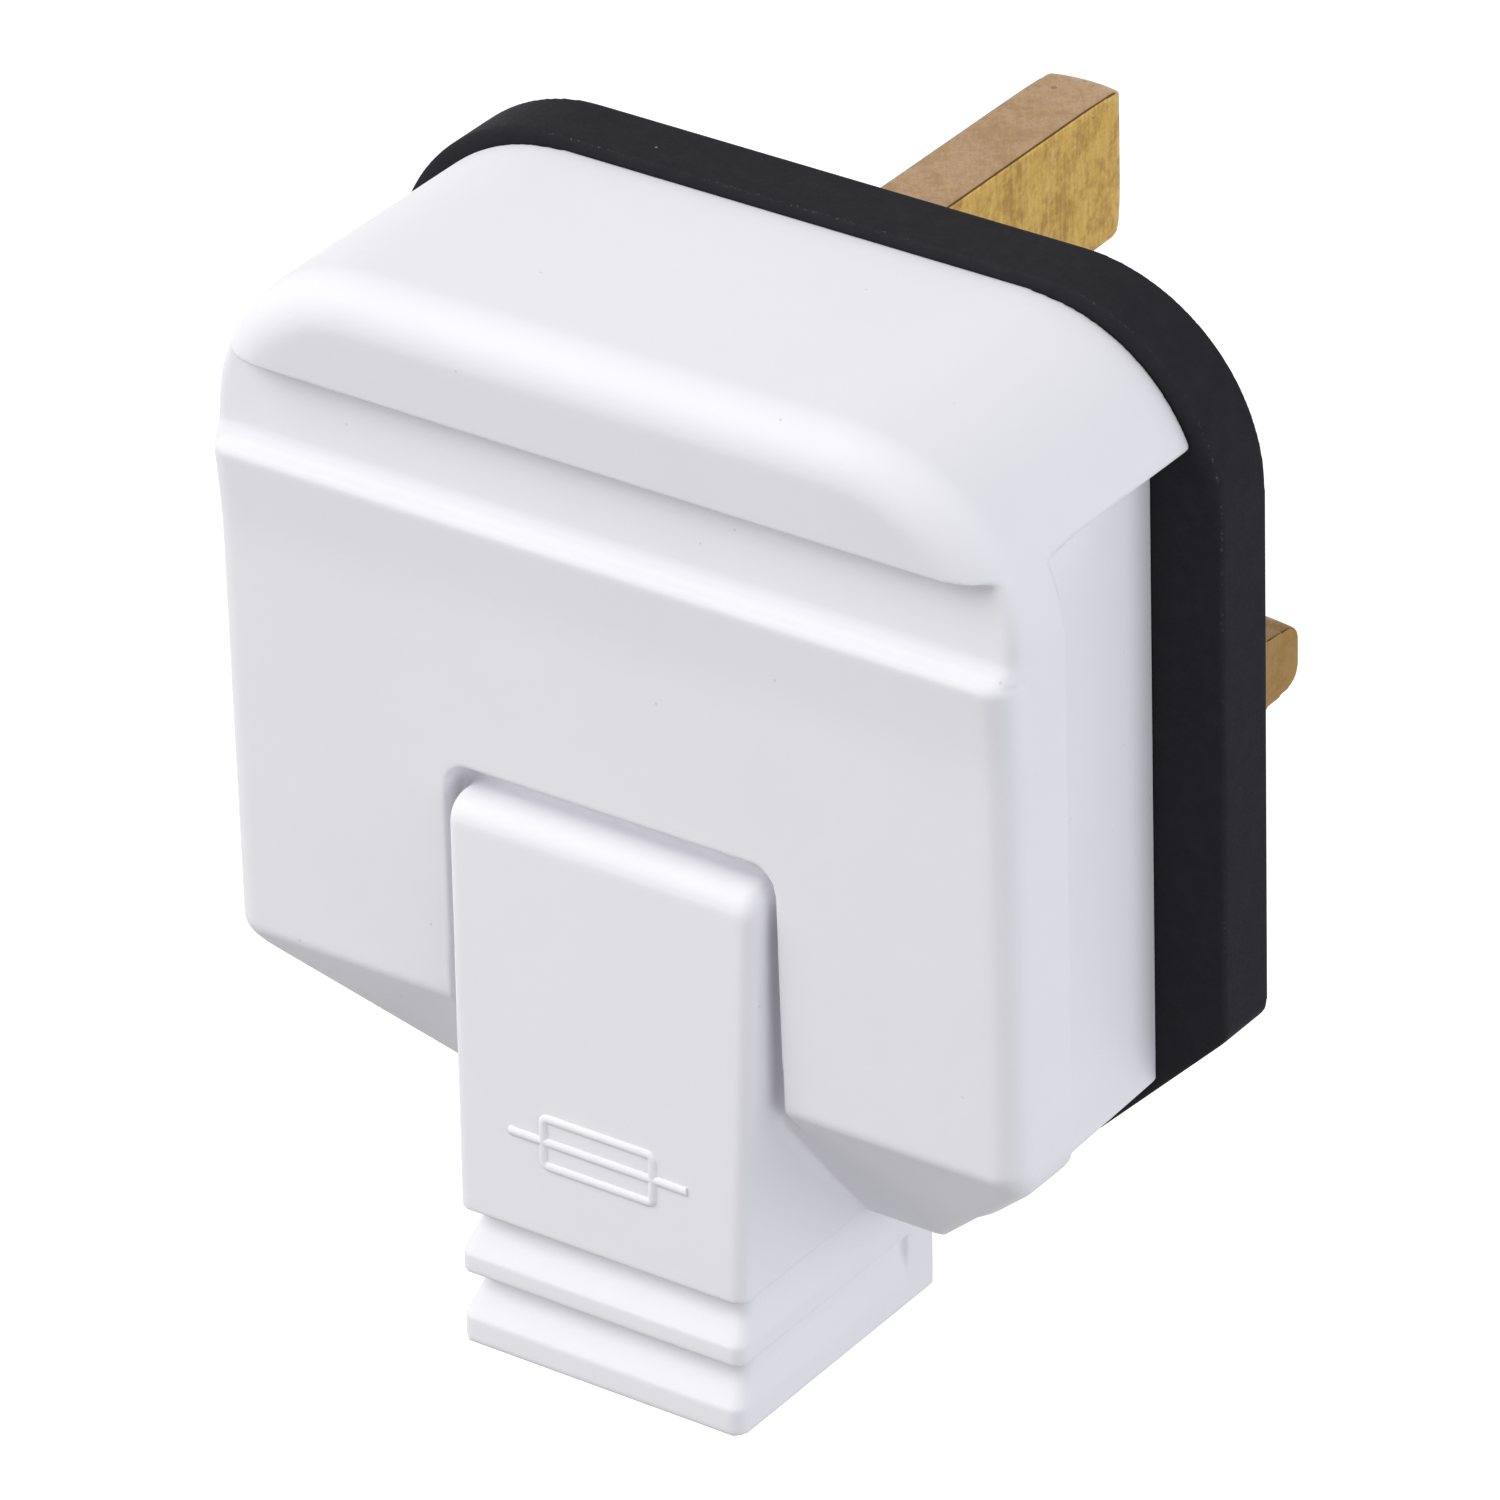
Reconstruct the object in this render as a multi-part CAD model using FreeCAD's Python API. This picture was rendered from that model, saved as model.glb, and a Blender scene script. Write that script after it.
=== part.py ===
import FreeCAD, Part
import math
import os

# UK three pin plug, millimetres.  +X right as seen from the cover, +Y into the wall, +Z up.
# The origin lies on the engaging face, on the centre line of the plug, level with the two live pins.

# pins, to the national pattern
PIN_HALF_PITCH = 11.11      # line and neutral pins stand this far either side of the centre line
EARTH_RISE = 22.23          # earth pin above the live pins
EARTH_WIDE, EARTH_TALL, EARTH_LONG = 4.0, 8.0, 22.3
LIVE_WIDE, LIVE_TALL, LIVE_LONG = 6.35, 4.0, 18.4
EARTH_DOME, EARTH_NOSE = 1.8, 2.0     # tip rounding in plan and from the side
LIVE_DOME, LIVE_NOSE = 0.5, 1.7
PIN_TAPER, EARTH_DROP, LIVE_DROP = 4.5, 0.15, 0.4   # the end of a pin is drawn in by its drop
SLEEVE_LONG, SLEEVE_WALL = 9.5, 0.7
SLIDE = 0.05                # clearance of a sliding fit, each side

# base moulding
BASE_HALF, BASE_CORNER = 23.85, 10.0
BASE_ABOVE = 3.87           # base above the earth pin
BASE_TOP = EARTH_RISE + EARTH_TALL / 2 + BASE_ABOVE
BASE_THICK = 3.85
BASE_SLANT = 32.1           # X - Z along the lower slanting side
BASE_BOTTOM = -19.0
BASE_KNEE = 1.2             # rounding between the upright side and the slant
BASE_EDGE = 0.15            # bevel round both faces

# cover moulding, outer form
COVER_HALF, COVER_CORNER = 22.95, 9.5
COVER_BELOW = 0.65          # top of the cover below the top of the base
COVER_TOP = BASE_TOP - COVER_BELOW
COVER_SLANT, COVER_BOTTOM, COVER_KNEE = 31.9, -18.7, 2.6
PANEL_FACE = -20.4          # front panel
LIP_OUT, LIP_DROP = 0.4, 4.5          # the lip leans out by this, over this height
PANEL_BEND = 30.0           # soft bend where the lean starts
PANEL_FOOT = -8.2           # the front chamfer starts here
CHAMFER_REAR = -11.9        # and ends at the bottom here
BODY_EDGE = 1.5             # soft vertical edges of the panel
LIP_EDGE = 0.6
FOOT_EDGE = 1.1
BROW_FACE, BROW_TALL, BROW_EDGE = -20.75, 5.85, 2.4
BROW_LEAN = 0.6             # the brow leans out by this towards its top
BROW_LINE = COVER_TOP - BROW_TALL     # lower edge of the brow
FLUTE_TALL = 4.8            # groove between the brow and the panel
PANEL_TOP = BROW_LINE - FLUTE_TALL    # lip along the top of the panel
FLUTE_TOP, FLUTE_LOW = -19.5, -19.75  # floor of the groove under the brow, at its top and its low side
FLUTE_EDGE, FLUTE_BEND = 0.8, 1.0
FLUTE_RAMP = 0.7            # rise of the slope from the lip to the groove floor
OVERLAP = 0.1               # depth by which joined forms run into each other

# finger recess on both sides of the cover
GRIP_FRONT = -15.4
GRIP_LEAN, GRIP_HIGH, GRIP_BEND = 0.65, 4.5, 12.0   # its front edge leans out by this near the top
GRIP_STEP, GRIP_DEPTH = 0.3, 3.05       # depth at the front edge and at the base
GRIP_BELOW = 6.05           # step at the top of the recess below the top of the cover
GRIP_TOP = COVER_TOP - GRIP_BELOW
GRIP_SHOULDER = 5.9         # corner of the recess floor at the base, above the step

# cable outlet on the cover
NOSE_TOP, NOSE_END = 3.8, -25.9
NOSE_HALF_TOP, NOSE_HALF_END = 8.95, 8.3
NOSE_FACE_TOP, NOSE_FACE_END = -21.4, -22.8
NOSE_REAR = -6.2
NOSE_EDGE = 0.8             # rounding of the front corners
HEAD_EDGE = 1.5             # rounding over the head
MOAT_GAP, MOAT_RISE, MOAT_DEEP = 0.55, 1.2, 1.4   # narrow trench round the head of the outlet
MOAT_CORNER, MOAT_SPREAD = 1.4, 0.35   # corner at the head, and how much wider the foot is
RIB_STARTS = (-18.5, -22.0)           # upper sides of the two grooves
GROOVE_FLAT, GROOVE_RAMP = 0.9, 1.6
GROOVE_FRONT, GROOVE_SIDE, GROOVE_END = 1.2, 0.45, -8.4
CORD_BORE, CORD_WAY = 4.3, 0.7        # radius of the cable entry and room round the cord above it

# room inside the cover
ROOM_HALF, ROOM_CORNER = 17.8, 7.2
ROOM_BELOW = 1.85           # wall above the room
ROOM_TOP = COVER_TOP - ROOM_BELOW
ROOM_SLANT, ROOM_BOTTOM = 28.6, -16.5
ROOM_FRONT = -16.6
ROOM_KNEE = 1.0
WALL = 2.4                  # wall behind the front chamfer

# locating lip of the base inside the cover
LOCATE_GAP, LOCATE_WALL, LOCATE_TALL = 0.15, 1.0, 2.2

# cover screw, entering from the engaging face
SCREW_Z = 8.5
SCREW_R, SCREW_HEAD_R, SCREW_HEAD_TALL = 1.75, 3.2, 2.2
SCREW_SINK, HEAD_GAP = 3.4, 0.2       # depth of the counterbore and room round the head
SCREW_LONG = 9.4
BOSS_R, BOSS_TALL = 4.6, 3.0
COVER_BOSS_R = 4.8
WASHER_R, WASHER_TALL = 3.3, 0.7
INSERT_R, INSERT_TALL = 2.5, 6.5
SLOT_WIDE, SLOT_DEEP = 0.9, 0.9

# terminals
BLOCK_TALL = 9.0            # height of the earth and neutral blocks above the base
EARTH_BLOCK_WIDE, EARTH_BLOCK_TALL = 9.0, 8.0
LIVE_BLOCK = 8.0
WIRE_R = 1.6
CLAMP_R, CLAMP_HEAD_R, CLAMP_HEAD_TALL = 1.4, 2.3, 1.6
LINE_HEAD_LEFT, LINE_HEAD_RIGHT, LINE_HEAD_TALL = 7.1, 16.2, 3.0

# cartridge fuse, standing beside the line pin
FUSE_X, FUSE_LOW, FUSE_LONG = 13.4, -4.5, 25.4
FUSE_CAP_R, FUSE_CAP_LONG, FUSE_CAP_WALL = 3.175, 6.2, 0.35
FUSE_TUBE_BORE, FUSE_WIRE_R = 1.6, 0.25
CLIP_SHEET, CLIP_GAP, CLIP_LONG = 0.6, 0.03, 5.0
CLIP_MOUTH = 50.0           # half angle of the open side, degrees
CLIP_FROM_END = 0.6         # clip edge from the end of the fuse
TERMINAL_LEFT, TERMINAL_RIGHT = 5.4, 9.3
TERMINAL_LOW, TERMINAL_HIGH, TERMINAL_TALL = 12.4, 17.0, 6.0
TERMINAL_WIRE_R, TERMINAL_SCREW_R, TERMINAL_HEAD_R = 1.0, 1.0, 1.7

# cord grip
GRIP_Z, GRIP_POST_X, GRIP_POST_R, GRIP_POST_TALL = -8.5, 8.4, 2.7, 7.0
GRIP_SCREW_R, GRIP_SCREW_LONG, GRIP_HEAD_R, GRIP_HEAD_TALL = 1.2, 7.0, 2.3, 1.7
GRIP_BAR_TALL, GRIP_BAR_THICK, GRIP_ARCH_HALF, GRIP_ARCH = 4.4, 2.0, 4.1, 1.6
SADDLE_HALF, SADDLE_TALL, SADDLE_THICK, SADDLE_DIP = 4.4, 5.0, 2.6, 1.0
CORD_Y = (NOSE_FACE_END + NOSE_REAR) / 2

FRONT, SIDE, PLAN = "front", "side", "plan"
FAR = 60.0                  # longer than anything here, for cutters that pass right through
NEAR = 0.001                # two places closer than this are the same
SAMPLES = (0.02, 0.3, 0.7, 0.98)      # shares of an edge at which it is looked at


def place(plane, u, v, at):
    """Point of a drawing plane: front is X-Z, side is Y-Z, plan is X-Y."""
    if plane == FRONT:
        return FreeCAD.Vector(u, at, v)
    if plane == SIDE:
        return FreeCAD.Vector(at, u, v)
    return FreeCAD.Vector(u, v, at)


def loop(corners, plane, at):
    """Closed wire through (u, v, radius) corners, every corner rounded by its own radius."""
    edges, tangents = [], []
    count = len(corners)
    for index, (u, v, radius) in enumerate(corners):
        corner = place(plane, u, v, at)
        back = place(plane, *corners[index - 1][:2], at) - corner
        ahead = place(plane, *corners[(index + 1) % count][:2], at) - corner
        back.normalize()
        ahead.normalize()
        if radius <= 0:
            tangents.append((corner, None, corner))
            continue
        half = back.getAngle(ahead) / 2
        inward = back + ahead
        inward.normalize()
        reach = radius / math.tan(half)
        crest = corner + inward * (radius / math.sin(half) - radius)
        tangents.append((corner + back * reach, crest, corner + ahead * reach))
    for index, (start, crest, end) in enumerate(tangents):
        if crest is not None:
            edges.append(Part.Arc(start, crest, end).toShape())
        following = tangents[(index + 1) % count][0]
        if end.distanceToPoint(following) > NEAR:
            edges.append(Part.LineSegment(end, following).toShape())
    return Part.Wire(edges)


def slab(corners, plane, start, end):
    """Solid of a rounded outline carried from start to end across its drawing plane."""
    travel = place(plane, 0, 0, end) - place(plane, 0, 0, start)
    return Part.Face(loop(corners, plane, start)).extrude(travel)


def box(x0, x1, y0, y1, z0, z1):
    """Plain block between the given limits."""
    return Part.makeBox(x1 - x0, y1 - y0, z1 - z0, FreeCAD.Vector(x0, y0, z0))


def rod(radius, x, z, y_front, y_rear):
    """Round bar along Y."""
    start = FreeCAD.Vector(x, y_front, z)
    return Part.makeCylinder(radius, y_rear - y_front, start, FreeCAD.Vector(0, 1, 0))


def upright(radius, x, y, z_low, z_high):
    """Round bar along Z."""
    return Part.makeCylinder(radius, z_high - z_low, FreeCAD.Vector(x, y, z_low))


def mirrored(right):
    """Symmetric closed outline from the corners of its right half, listed from the top down."""
    return [(-u, v, r) for u, v, r in reversed(right)] + right


def shield(half, top, corner, slant, bottom, knee, toe=0.0):
    """Outline of the plug from the front: rounded shoulders, upright sides, slants to the bottom."""
    return mirrored([(half, top, corner), (half, half - slant, knee), (slant + bottom, bottom, toe)])


def frustum(upper, lower):
    """Flat faced solid between two outlines with the same number of corners."""
    count = len(upper)
    rings = [upper[::-1], lower]
    rings += [[upper[i - 1], upper[i], lower[i], lower[i - 1]] for i in range(count)]
    faces = [Part.Face(Part.makePolygon(ring + ring[:1])) for ring in rings]
    return Part.makeSolid(Part.Shell(faces))


def keep(shape, name):
    """Write one named sub-part."""
    shape.exportStep("parts/" + name + ".step")


def chain(shape, test):
    """Edges of a shape whose every sampled point passes the test."""
    found = []
    for edge in shape.Edges:
        first, last = edge.ParameterRange
        points = [edge.valueAt(first + (last - first) * share) for share in SAMPLES]
        if all(test(point) for point in points):
            found.append(edge)
    return found


def cover_block(side):
    """Outline of the cover carried forward, kept where it lies inside a side profile."""
    bottom = COVER_BOTTOM - 2 * BODY_EDGE
    outline = shield(COVER_HALF, COVER_TOP, COVER_CORNER, COVER_SLANT, bottom, COVER_KNEE)
    return slab(outline, FRONT, -BASE_THICK, -FAR).common(slab(side, SIDE, -FAR, FAR))


def outer_side(p):
    """True on the upright sides and the slants of the cover outline."""
    upright_side = abs(abs(p.x) - COVER_HALF) < NEAR
    slant = abs(abs(p.x) - p.z - COVER_SLANT) < NEAR
    near_knee = abs(p.z - COVER_HALF + COVER_SLANT) < COVER_KNEE and abs(p.x) > COVER_HALF - COVER_KNEE
    return upright_side or slant or near_knee


def on_front(p):
    """True where the outline meets the front panel, the chamfer or the bottom, not on the rear."""
    return p.y < PANEL_FACE + NEAR or (p.z < PANEL_FOOT + FOOT_EDGE and p.y < -BASE_THICK - NEAR)


def cover_panel():
    """Front panel with its leaning lip, chamfer and soft edges."""
    lip = PANEL_FACE - LIP_OUT
    side = [(0.0, PANEL_TOP, 0), (lip, PANEL_TOP, 0), (PANEL_FACE, PANEL_TOP - LIP_DROP, PANEL_BEND),
            (PANEL_FACE, PANEL_FOOT, FOOT_EDGE), (CHAMFER_REAR, COVER_BOTTOM, FOOT_EDGE),
            (0.0, COVER_BOTTOM, 0)]
    body = cover_block(side)
    sides = chain(body, lambda p: p.z < PANEL_TOP - NEAR and outer_side(p) and on_front(p))
    body = body.makeFillet(BODY_EDGE, sides)
    top = chain(body, lambda p: abs(p.z - PANEL_TOP) < NEAR and p.y < -BASE_THICK - NEAR)
    return body.makeFillet(LIP_EDGE, top)


def cover_brow():
    """Overhanging ridge across the top of the front, with its large soft edge."""
    above = COVER_TOP + OVERLAP
    crest = BROW_FACE - BROW_LEAN * (above - BROW_LINE) / BROW_TALL
    body = cover_block([(0.0, above, 0), (crest, above, 0), (BROW_FACE, BROW_LINE, 0), (0.0, BROW_LINE, 0)])
    rim = chain(body, lambda p: p.y < BROW_FACE + NEAR and p.z > BROW_LINE + NEAR)
    return body.makeFillet(BROW_EDGE, rim)


def cover_flute():
    """Floor of the groove between the brow and the panel, sloping out to the lip."""
    low, lip = PANEL_TOP + FLUTE_RAMP, PANEL_FACE - LIP_OUT + LIP_EDGE
    under, behind = PANEL_TOP - OVERLAP, PANEL_FACE + BODY_EDGE
    root = PANEL_TOP - 2 * LIP_EDGE
    body = cover_block([(0.0, BROW_LINE, 0), (FLUTE_TOP, BROW_LINE, 0), (FLUTE_LOW, low, FLUTE_BEND),
                        (lip, under, 0), (behind, under, 0), (behind, root, 0), (0.0, root, 0)])
    ends = chain(body, lambda p: p.y < FLUTE_TOP + NEAR and abs(p.x) > COVER_HALF - FLUTE_BEND)
    return body.makeFillet(FLUTE_EDGE, ends)


def grip_recess():
    """Material taken off both sides and slants so that fingers can pull the plug."""
    front = shield(COVER_HALF - GRIP_STEP, COVER_TOP, COVER_CORNER - GRIP_STEP,
                   COVER_SLANT - GRIP_STEP * math.sqrt(2), COVER_BOTTOM - BODY_EDGE, 0)
    rear = shield(COVER_HALF - GRIP_DEPTH, COVER_TOP, GRIP_SHOULDER, COVER_SLANT - GRIP_STEP * math.sqrt(2),
                  COVER_BOTTOM - BODY_EDGE, 0)
    start = GRIP_FRONT - GRIP_LEAN
    kept = Part.makeLoft([loop(front, FRONT, start), loop(rear, FRONT, -BASE_THICK)], True, True)
    side = [(start, GRIP_TOP, 0), (-BASE_THICK, GRIP_TOP, 0), (-BASE_THICK, -FAR, 0), (GRIP_FRONT, -FAR, 0),
            (GRIP_FRONT, GRIP_TOP - GRIP_HIGH, GRIP_BEND)]
    return slab(side, SIDE, -FAR, FAR).cut(kept)


def nose_section(z, inset_front=0.0, inset_side=0.0):
    """Corners of the cable outlet at a height, drawn in at its front and sides."""
    share = nose_share(z)
    half = NOSE_HALF_TOP + (NOSE_HALF_END - NOSE_HALF_TOP) * share - inset_side
    face = NOSE_FACE_TOP + (NOSE_FACE_END - NOSE_FACE_TOP) * share + inset_front
    corners = [(half, NOSE_REAR), (half, face), (-half, face), (-half, NOSE_REAR)]
    return [FreeCAD.Vector(x, y, z) for x, y in corners]


def nose_share(z):
    """How far a height lies down the outlet, 0 at its head and 1 at its end."""
    return (NOSE_TOP - z) / (NOSE_TOP - NOSE_END)


def nose_block():
    """Outlet without its grooves, rounded over its head and along its front corners."""
    front = [(NOSE_HALF_TOP, NOSE_TOP, 0), (NOSE_HALF_END, NOSE_END, 0),
             (-NOSE_HALF_END, NOSE_END, 0), (-NOSE_HALF_TOP, NOSE_TOP, 0)]
    side = [(NOSE_REAR, NOSE_TOP, 0), (NOSE_REAR, NOSE_END, 0),
            (NOSE_FACE_END, NOSE_END, 0), (NOSE_FACE_TOP, NOSE_TOP, HEAD_EDGE)]
    body = slab(front, FRONT, NOSE_REAR, -FAR).common(slab(side, SIDE, -FAR, FAR))

    def corner(p):
        on_side = abs(p.x) > NOSE_HALF_END - NEAR
        return on_side and NOSE_END + NEAR < p.z and p.y < NOSE_REAR - NEAR

    return body.makeFillet(NOSE_EDGE, chain(body, corner))


def nose_waist(upper, lower):
    """Core of a gripping groove between two plans, rounded along its front corners."""
    body = frustum(upper, lower)
    high, low = upper[0].z, lower[0].z
    front = NOSE_FACE_TOP + GROOVE_FRONT
    return body.makeFillet(NOSE_EDGE, chain(body, lambda p: low < p.z < high and p.y < front))


def cover_nose():
    """Cable outlet: a tapered block with two gripping grooves above its end."""
    body = nose_block()
    inner = (GROOVE_FRONT, GROOVE_SIDE)
    for start in RIB_STARTS:
        flat, ramp = start - GROOVE_FLAT, start - GROOVE_FLAT - GROOVE_RAMP
        waist = nose_waist(nose_section(start, *inner), nose_section(flat, *inner))
        flare = nose_waist(nose_section(flat, *inner), nose_section(ramp))
        body = body.cut(box(-FAR, FAR, -FAR, GROOVE_END, ramp, start).cut(waist.fuse(flare)))
    return body


def cover_moat():
    """Narrow trench in the panel round the head of the outlet."""
    half, top = NOSE_HALF_TOP + MOAT_GAP, NOSE_TOP + MOAT_RISE
    foot = half + MOAT_SPREAD
    outer = [(foot, COVER_BOTTOM, 0), (half, top, MOAT_CORNER),
             (-half, top, MOAT_CORNER), (-foot, COVER_BOTTOM, 0)]
    return slab(outer, FRONT, PANEL_FACE + MOAT_DEEP, -FAR)


def cover_room():
    """Hollow for the terminals, the fuse and the cord."""
    lean = (CHAMFER_REAR - PANEL_FACE) / (PANEL_FOOT - COVER_BOTTOM)
    back = WALL * math.sqrt(1 + lean * lean)
    foot = PANEL_FOOT + (PANEL_FACE + back - ROOM_FRONT) / lean
    floor = ROOM_FRONT + (foot - ROOM_BOTTOM) * lean
    side = [(0.0, ROOM_TOP, 0), (ROOM_FRONT, ROOM_TOP, 0), (ROOM_FRONT, foot, 0),
            (floor, ROOM_BOTTOM, 0), (0.0, ROOM_BOTTOM, 0)]
    outline = shield(ROOM_HALF, ROOM_TOP, ROOM_CORNER, ROOM_SLANT, ROOM_BOTTOM, ROOM_KNEE)
    return slab(outline, FRONT, 0.0, -FAR).common(slab(side, SIDE, -FAR, FAR))


def cord_way():
    """Round cable entry through the end of the outlet, and the pocket that joins it to the room."""
    half = CORD_BORE + CORD_WAY
    pocket = box(-half, half, CORD_Y - half, CORD_Y + half, ROOM_BOTTOM, PANEL_FOOT)
    return pocket.fuse(upright(CORD_BORE, 0, CORD_Y, NOSE_END, ROOM_BOTTOM))


def cover():
    """White moulding: brow, groove, panel and cable outlet in one hollow piece with a screw boss."""
    body = cover_panel().fuse([cover_flute(), cover_brow()])
    body = body.cut(grip_recess()).cut(cover_moat())
    body = body.fuse(cover_nose()).cut(cover_room())
    body = body.cut(cord_way())
    seat = -BASE_THICK - BOSS_TALL
    boss = rod(COVER_BOSS_R, 0, SCREW_Z, ROOM_FRONT - OVERLAP, seat)
    boss = boss.cut(rod(WASHER_R + SLIDE, 0, SCREW_Z, seat - WASHER_TALL - SLIDE, seat))
    boss = boss.cut(rod(INSERT_R, 0, SCREW_Z, seat - WASHER_TALL - SLIDE - INSERT_TALL, seat))
    return body.fuse(boss).removeSplitter()


def pin_hole(x, z, wide, tall):
    """Opening in the base for a pin, with its sliding clearance."""
    half_wide, half_tall = wide / 2 + SLIDE, tall / 2 + SLIDE
    return box(x - half_wide, x + half_wide, -FAR, FAR, z - half_tall, z + half_tall)


def base():
    """Black moulding: engaging plate with pin holes, locating lip, screw boss and cord grip posts."""
    outline = shield(BASE_HALF, BASE_TOP, BASE_CORNER, BASE_SLANT, BASE_BOTTOM, BASE_KNEE, BASE_KNEE)
    body = slab(outline, FRONT, -BASE_THICK, 0.0)
    rims = chain(body, lambda p: abs(p.y) < NEAR or abs(p.y + BASE_THICK) < NEAR)
    body = body.makeChamfer(BASE_EDGE, rims)
    gap, wall = LOCATE_GAP, LOCATE_GAP + LOCATE_WALL
    floor = -BASE_THICK
    lip = locate_outline(gap, floor).cut(locate_outline(wall, floor))
    nose_way = box(-CORD_BORE, CORD_BORE, -FAR, floor, ROOM_BOTTOM, ROOM_BOTTOM + 2 * wall)
    body = body.fuse(lip.cut(nose_way))
    body = body.fuse(rod(BOSS_R, 0, SCREW_Z, floor - BOSS_TALL, floor))
    for side in (-1, 1):
        body = body.fuse(rod(GRIP_POST_R, side * GRIP_POST_X, GRIP_Z, floor - GRIP_POST_TALL, floor))
    saddle = box(-SADDLE_HALF, SADDLE_HALF, floor - SADDLE_TALL, floor, GRIP_Z - SADDLE_THICK / 2,
                 GRIP_Z + SADDLE_THICK / 2)
    dip = floor - SADDLE_TALL - CORD_BORE + SADDLE_DIP
    body = body.fuse(saddle.cut(upright(CORD_BORE, 0, dip, -FAR, FAR)))
    body = body.fuse(box(TERMINAL_LEFT, LINE_HEAD_RIGHT, floor - LINE_HEAD_TALL, floor, TERMINAL_LOW,
                         load_clip_span()[1]))
    body = body.cut(pin_hole(0, EARTH_RISE, EARTH_WIDE, EARTH_TALL))
    for side in (-1, 1):
        body = body.cut(pin_hole(side * PIN_HALF_PITCH, 0, LIVE_WIDE, LIVE_TALL))
        depth = GRIP_SCREW_LONG - GRIP_BAR_THICK
        body = body.cut(rod(GRIP_SCREW_R, side * GRIP_POST_X, GRIP_Z, floor - GRIP_POST_TALL,
                            floor - GRIP_POST_TALL + depth + SLIDE))
    body = body.cut(rod(SCREW_R + SLIDE, 0, SCREW_Z, -FAR, 0.0))
    return body.cut(rod(SCREW_HEAD_R + HEAD_GAP, 0, SCREW_Z, -SCREW_SINK, 0.0)).removeSplitter()


def locate_outline(inset, floor):
    """Solid of the locating lip's outline, inset from the room in the cover."""
    outline = shield(ROOM_HALF - inset, ROOM_TOP - inset, ROOM_CORNER - inset,
                     ROOM_SLANT - inset * math.sqrt(2), ROOM_BOTTOM + inset, ROOM_KNEE)
    return slab(outline, FRONT, floor - LOCATE_TALL, floor)


def pin_shank(x, z, wide, tall, long, dome, nose, drop, start):
    """Flat pin along Y with its end drawn in, and its tip rounded in plan and from the side."""
    left, right, low, high = x - wide / 2, x + wide / 2, z - tall / 2, z + tall / 2
    plan = [(left, start, 0), (right, start, 0), (right, long, dome), (left, long, dome)]
    neck = long - PIN_TAPER
    side = [(start, low, 0), (neck, low, 0), (long, low + drop, nose),
            (long, high - drop, nose), (neck, high, 0), (start, high, 0)]
    return slab(plan, PLAN, z - tall, z + tall).common(slab(side, SIDE, x - wide, x + wide))


def clamp_block(x, z, wide, tall):
    """Terminal block on the base with a wire hole from below and a screw hole from the front."""
    front = -BASE_THICK - BLOCK_TALL
    middle = -BASE_THICK - BLOCK_TALL / 2
    left, right, low, high = x - wide / 2, x + wide / 2, z - tall / 2, z + tall / 2
    body = box(left, right, front, -BASE_THICK, low, high)
    body = body.cut(upright(WIRE_R, x, middle, z - tall, z + tall))
    return body.cut(rod(CLAMP_R, x, z, front, middle))


def slotted_screw(radius, head_radius, head_tall, x, z, seat, tip, turn):
    """Slotted screw along Y: its head seats on a plane and points to -Y or +Y by the sign of turn."""
    body = rod(radius, x, z, min(seat, tip), max(seat, tip))
    top = seat + turn * head_tall
    body = body.fuse(rod(head_radius, x, z, min(seat, top), max(seat, top)))
    deep = top - turn * min(SLOT_DEEP, head_tall / 2)
    slot = box(x - FAR, x + FAR, min(top, deep), max(top, deep), z - SLOT_WIDE / 2, z + SLOT_WIDE / 2)
    return body.cut(slot).removeSplitter()


def earth_pin():
    """Earth pin and its terminal block in one piece of brass."""
    shank = pin_shank(0, EARTH_RISE, EARTH_WIDE, EARTH_TALL, EARTH_LONG, EARTH_DOME, EARTH_NOSE,
                      EARTH_DROP, -BASE_THICK)
    return clamp_block(0, EARTH_RISE, EARTH_BLOCK_WIDE, EARTH_BLOCK_TALL).fuse(shank).removeSplitter()


def live_shank(x):
    """Live pin, thinned for its sleeve from the base outwards."""
    tip = pin_shank(x, 0, LIVE_WIDE, LIVE_TALL, LIVE_LONG, LIVE_DOME, LIVE_NOSE, LIVE_DROP, SLEEVE_LONG)
    neck = box(x - LIVE_WIDE / 2 + SLEEVE_WALL, x + LIVE_WIDE / 2 - SLEEVE_WALL, -BASE_THICK, SLEEVE_LONG,
               SLEEVE_WALL - LIVE_TALL / 2, LIVE_TALL / 2 - SLEEVE_WALL)
    return neck.fuse(tip)


def neutral_pin():
    """Neutral pin and its terminal block in one piece of brass."""
    block = clamp_block(-PIN_HALF_PITCH, 0, LIVE_BLOCK, LIVE_BLOCK)
    return block.fuse(live_shank(-PIN_HALF_PITCH)).removeSplitter()


def line_pin():
    """Line pin with the flat head that carries the lower fuse clip."""
    head = box(LINE_HEAD_LEFT, LINE_HEAD_RIGHT, -BASE_THICK - LINE_HEAD_TALL, -BASE_THICK, -LIVE_BLOCK / 2,
               LIVE_BLOCK / 2)
    return head.fuse(live_shank(PIN_HALF_PITCH)).removeSplitter()


def pin_sleeve(x):
    """Insulating sleeve round the neck of a live pin."""
    half_wide, half_tall = LIVE_WIDE / 2, LIVE_TALL / 2
    outer = box(x - half_wide, x + half_wide, -BASE_THICK, SLEEVE_LONG, -half_tall, half_tall)
    return outer.cut(box(x - half_wide + SLEEVE_WALL, x + half_wide - SLEEVE_WALL, -FAR, FAR,
                         SLEEVE_WALL - half_tall, half_tall - SLEEVE_WALL))


def fuse_axis_y():
    """The fuse lies on the flat feet of its clips."""
    return -BASE_THICK - LINE_HEAD_TALL - CLIP_SHEET - FUSE_CAP_R


def load_clip_span():
    """Lower and upper end of the clip on the load side of the fuse."""
    high = FUSE_LOW + FUSE_LONG - CLIP_FROM_END
    return high - CLIP_LONG, high


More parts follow.
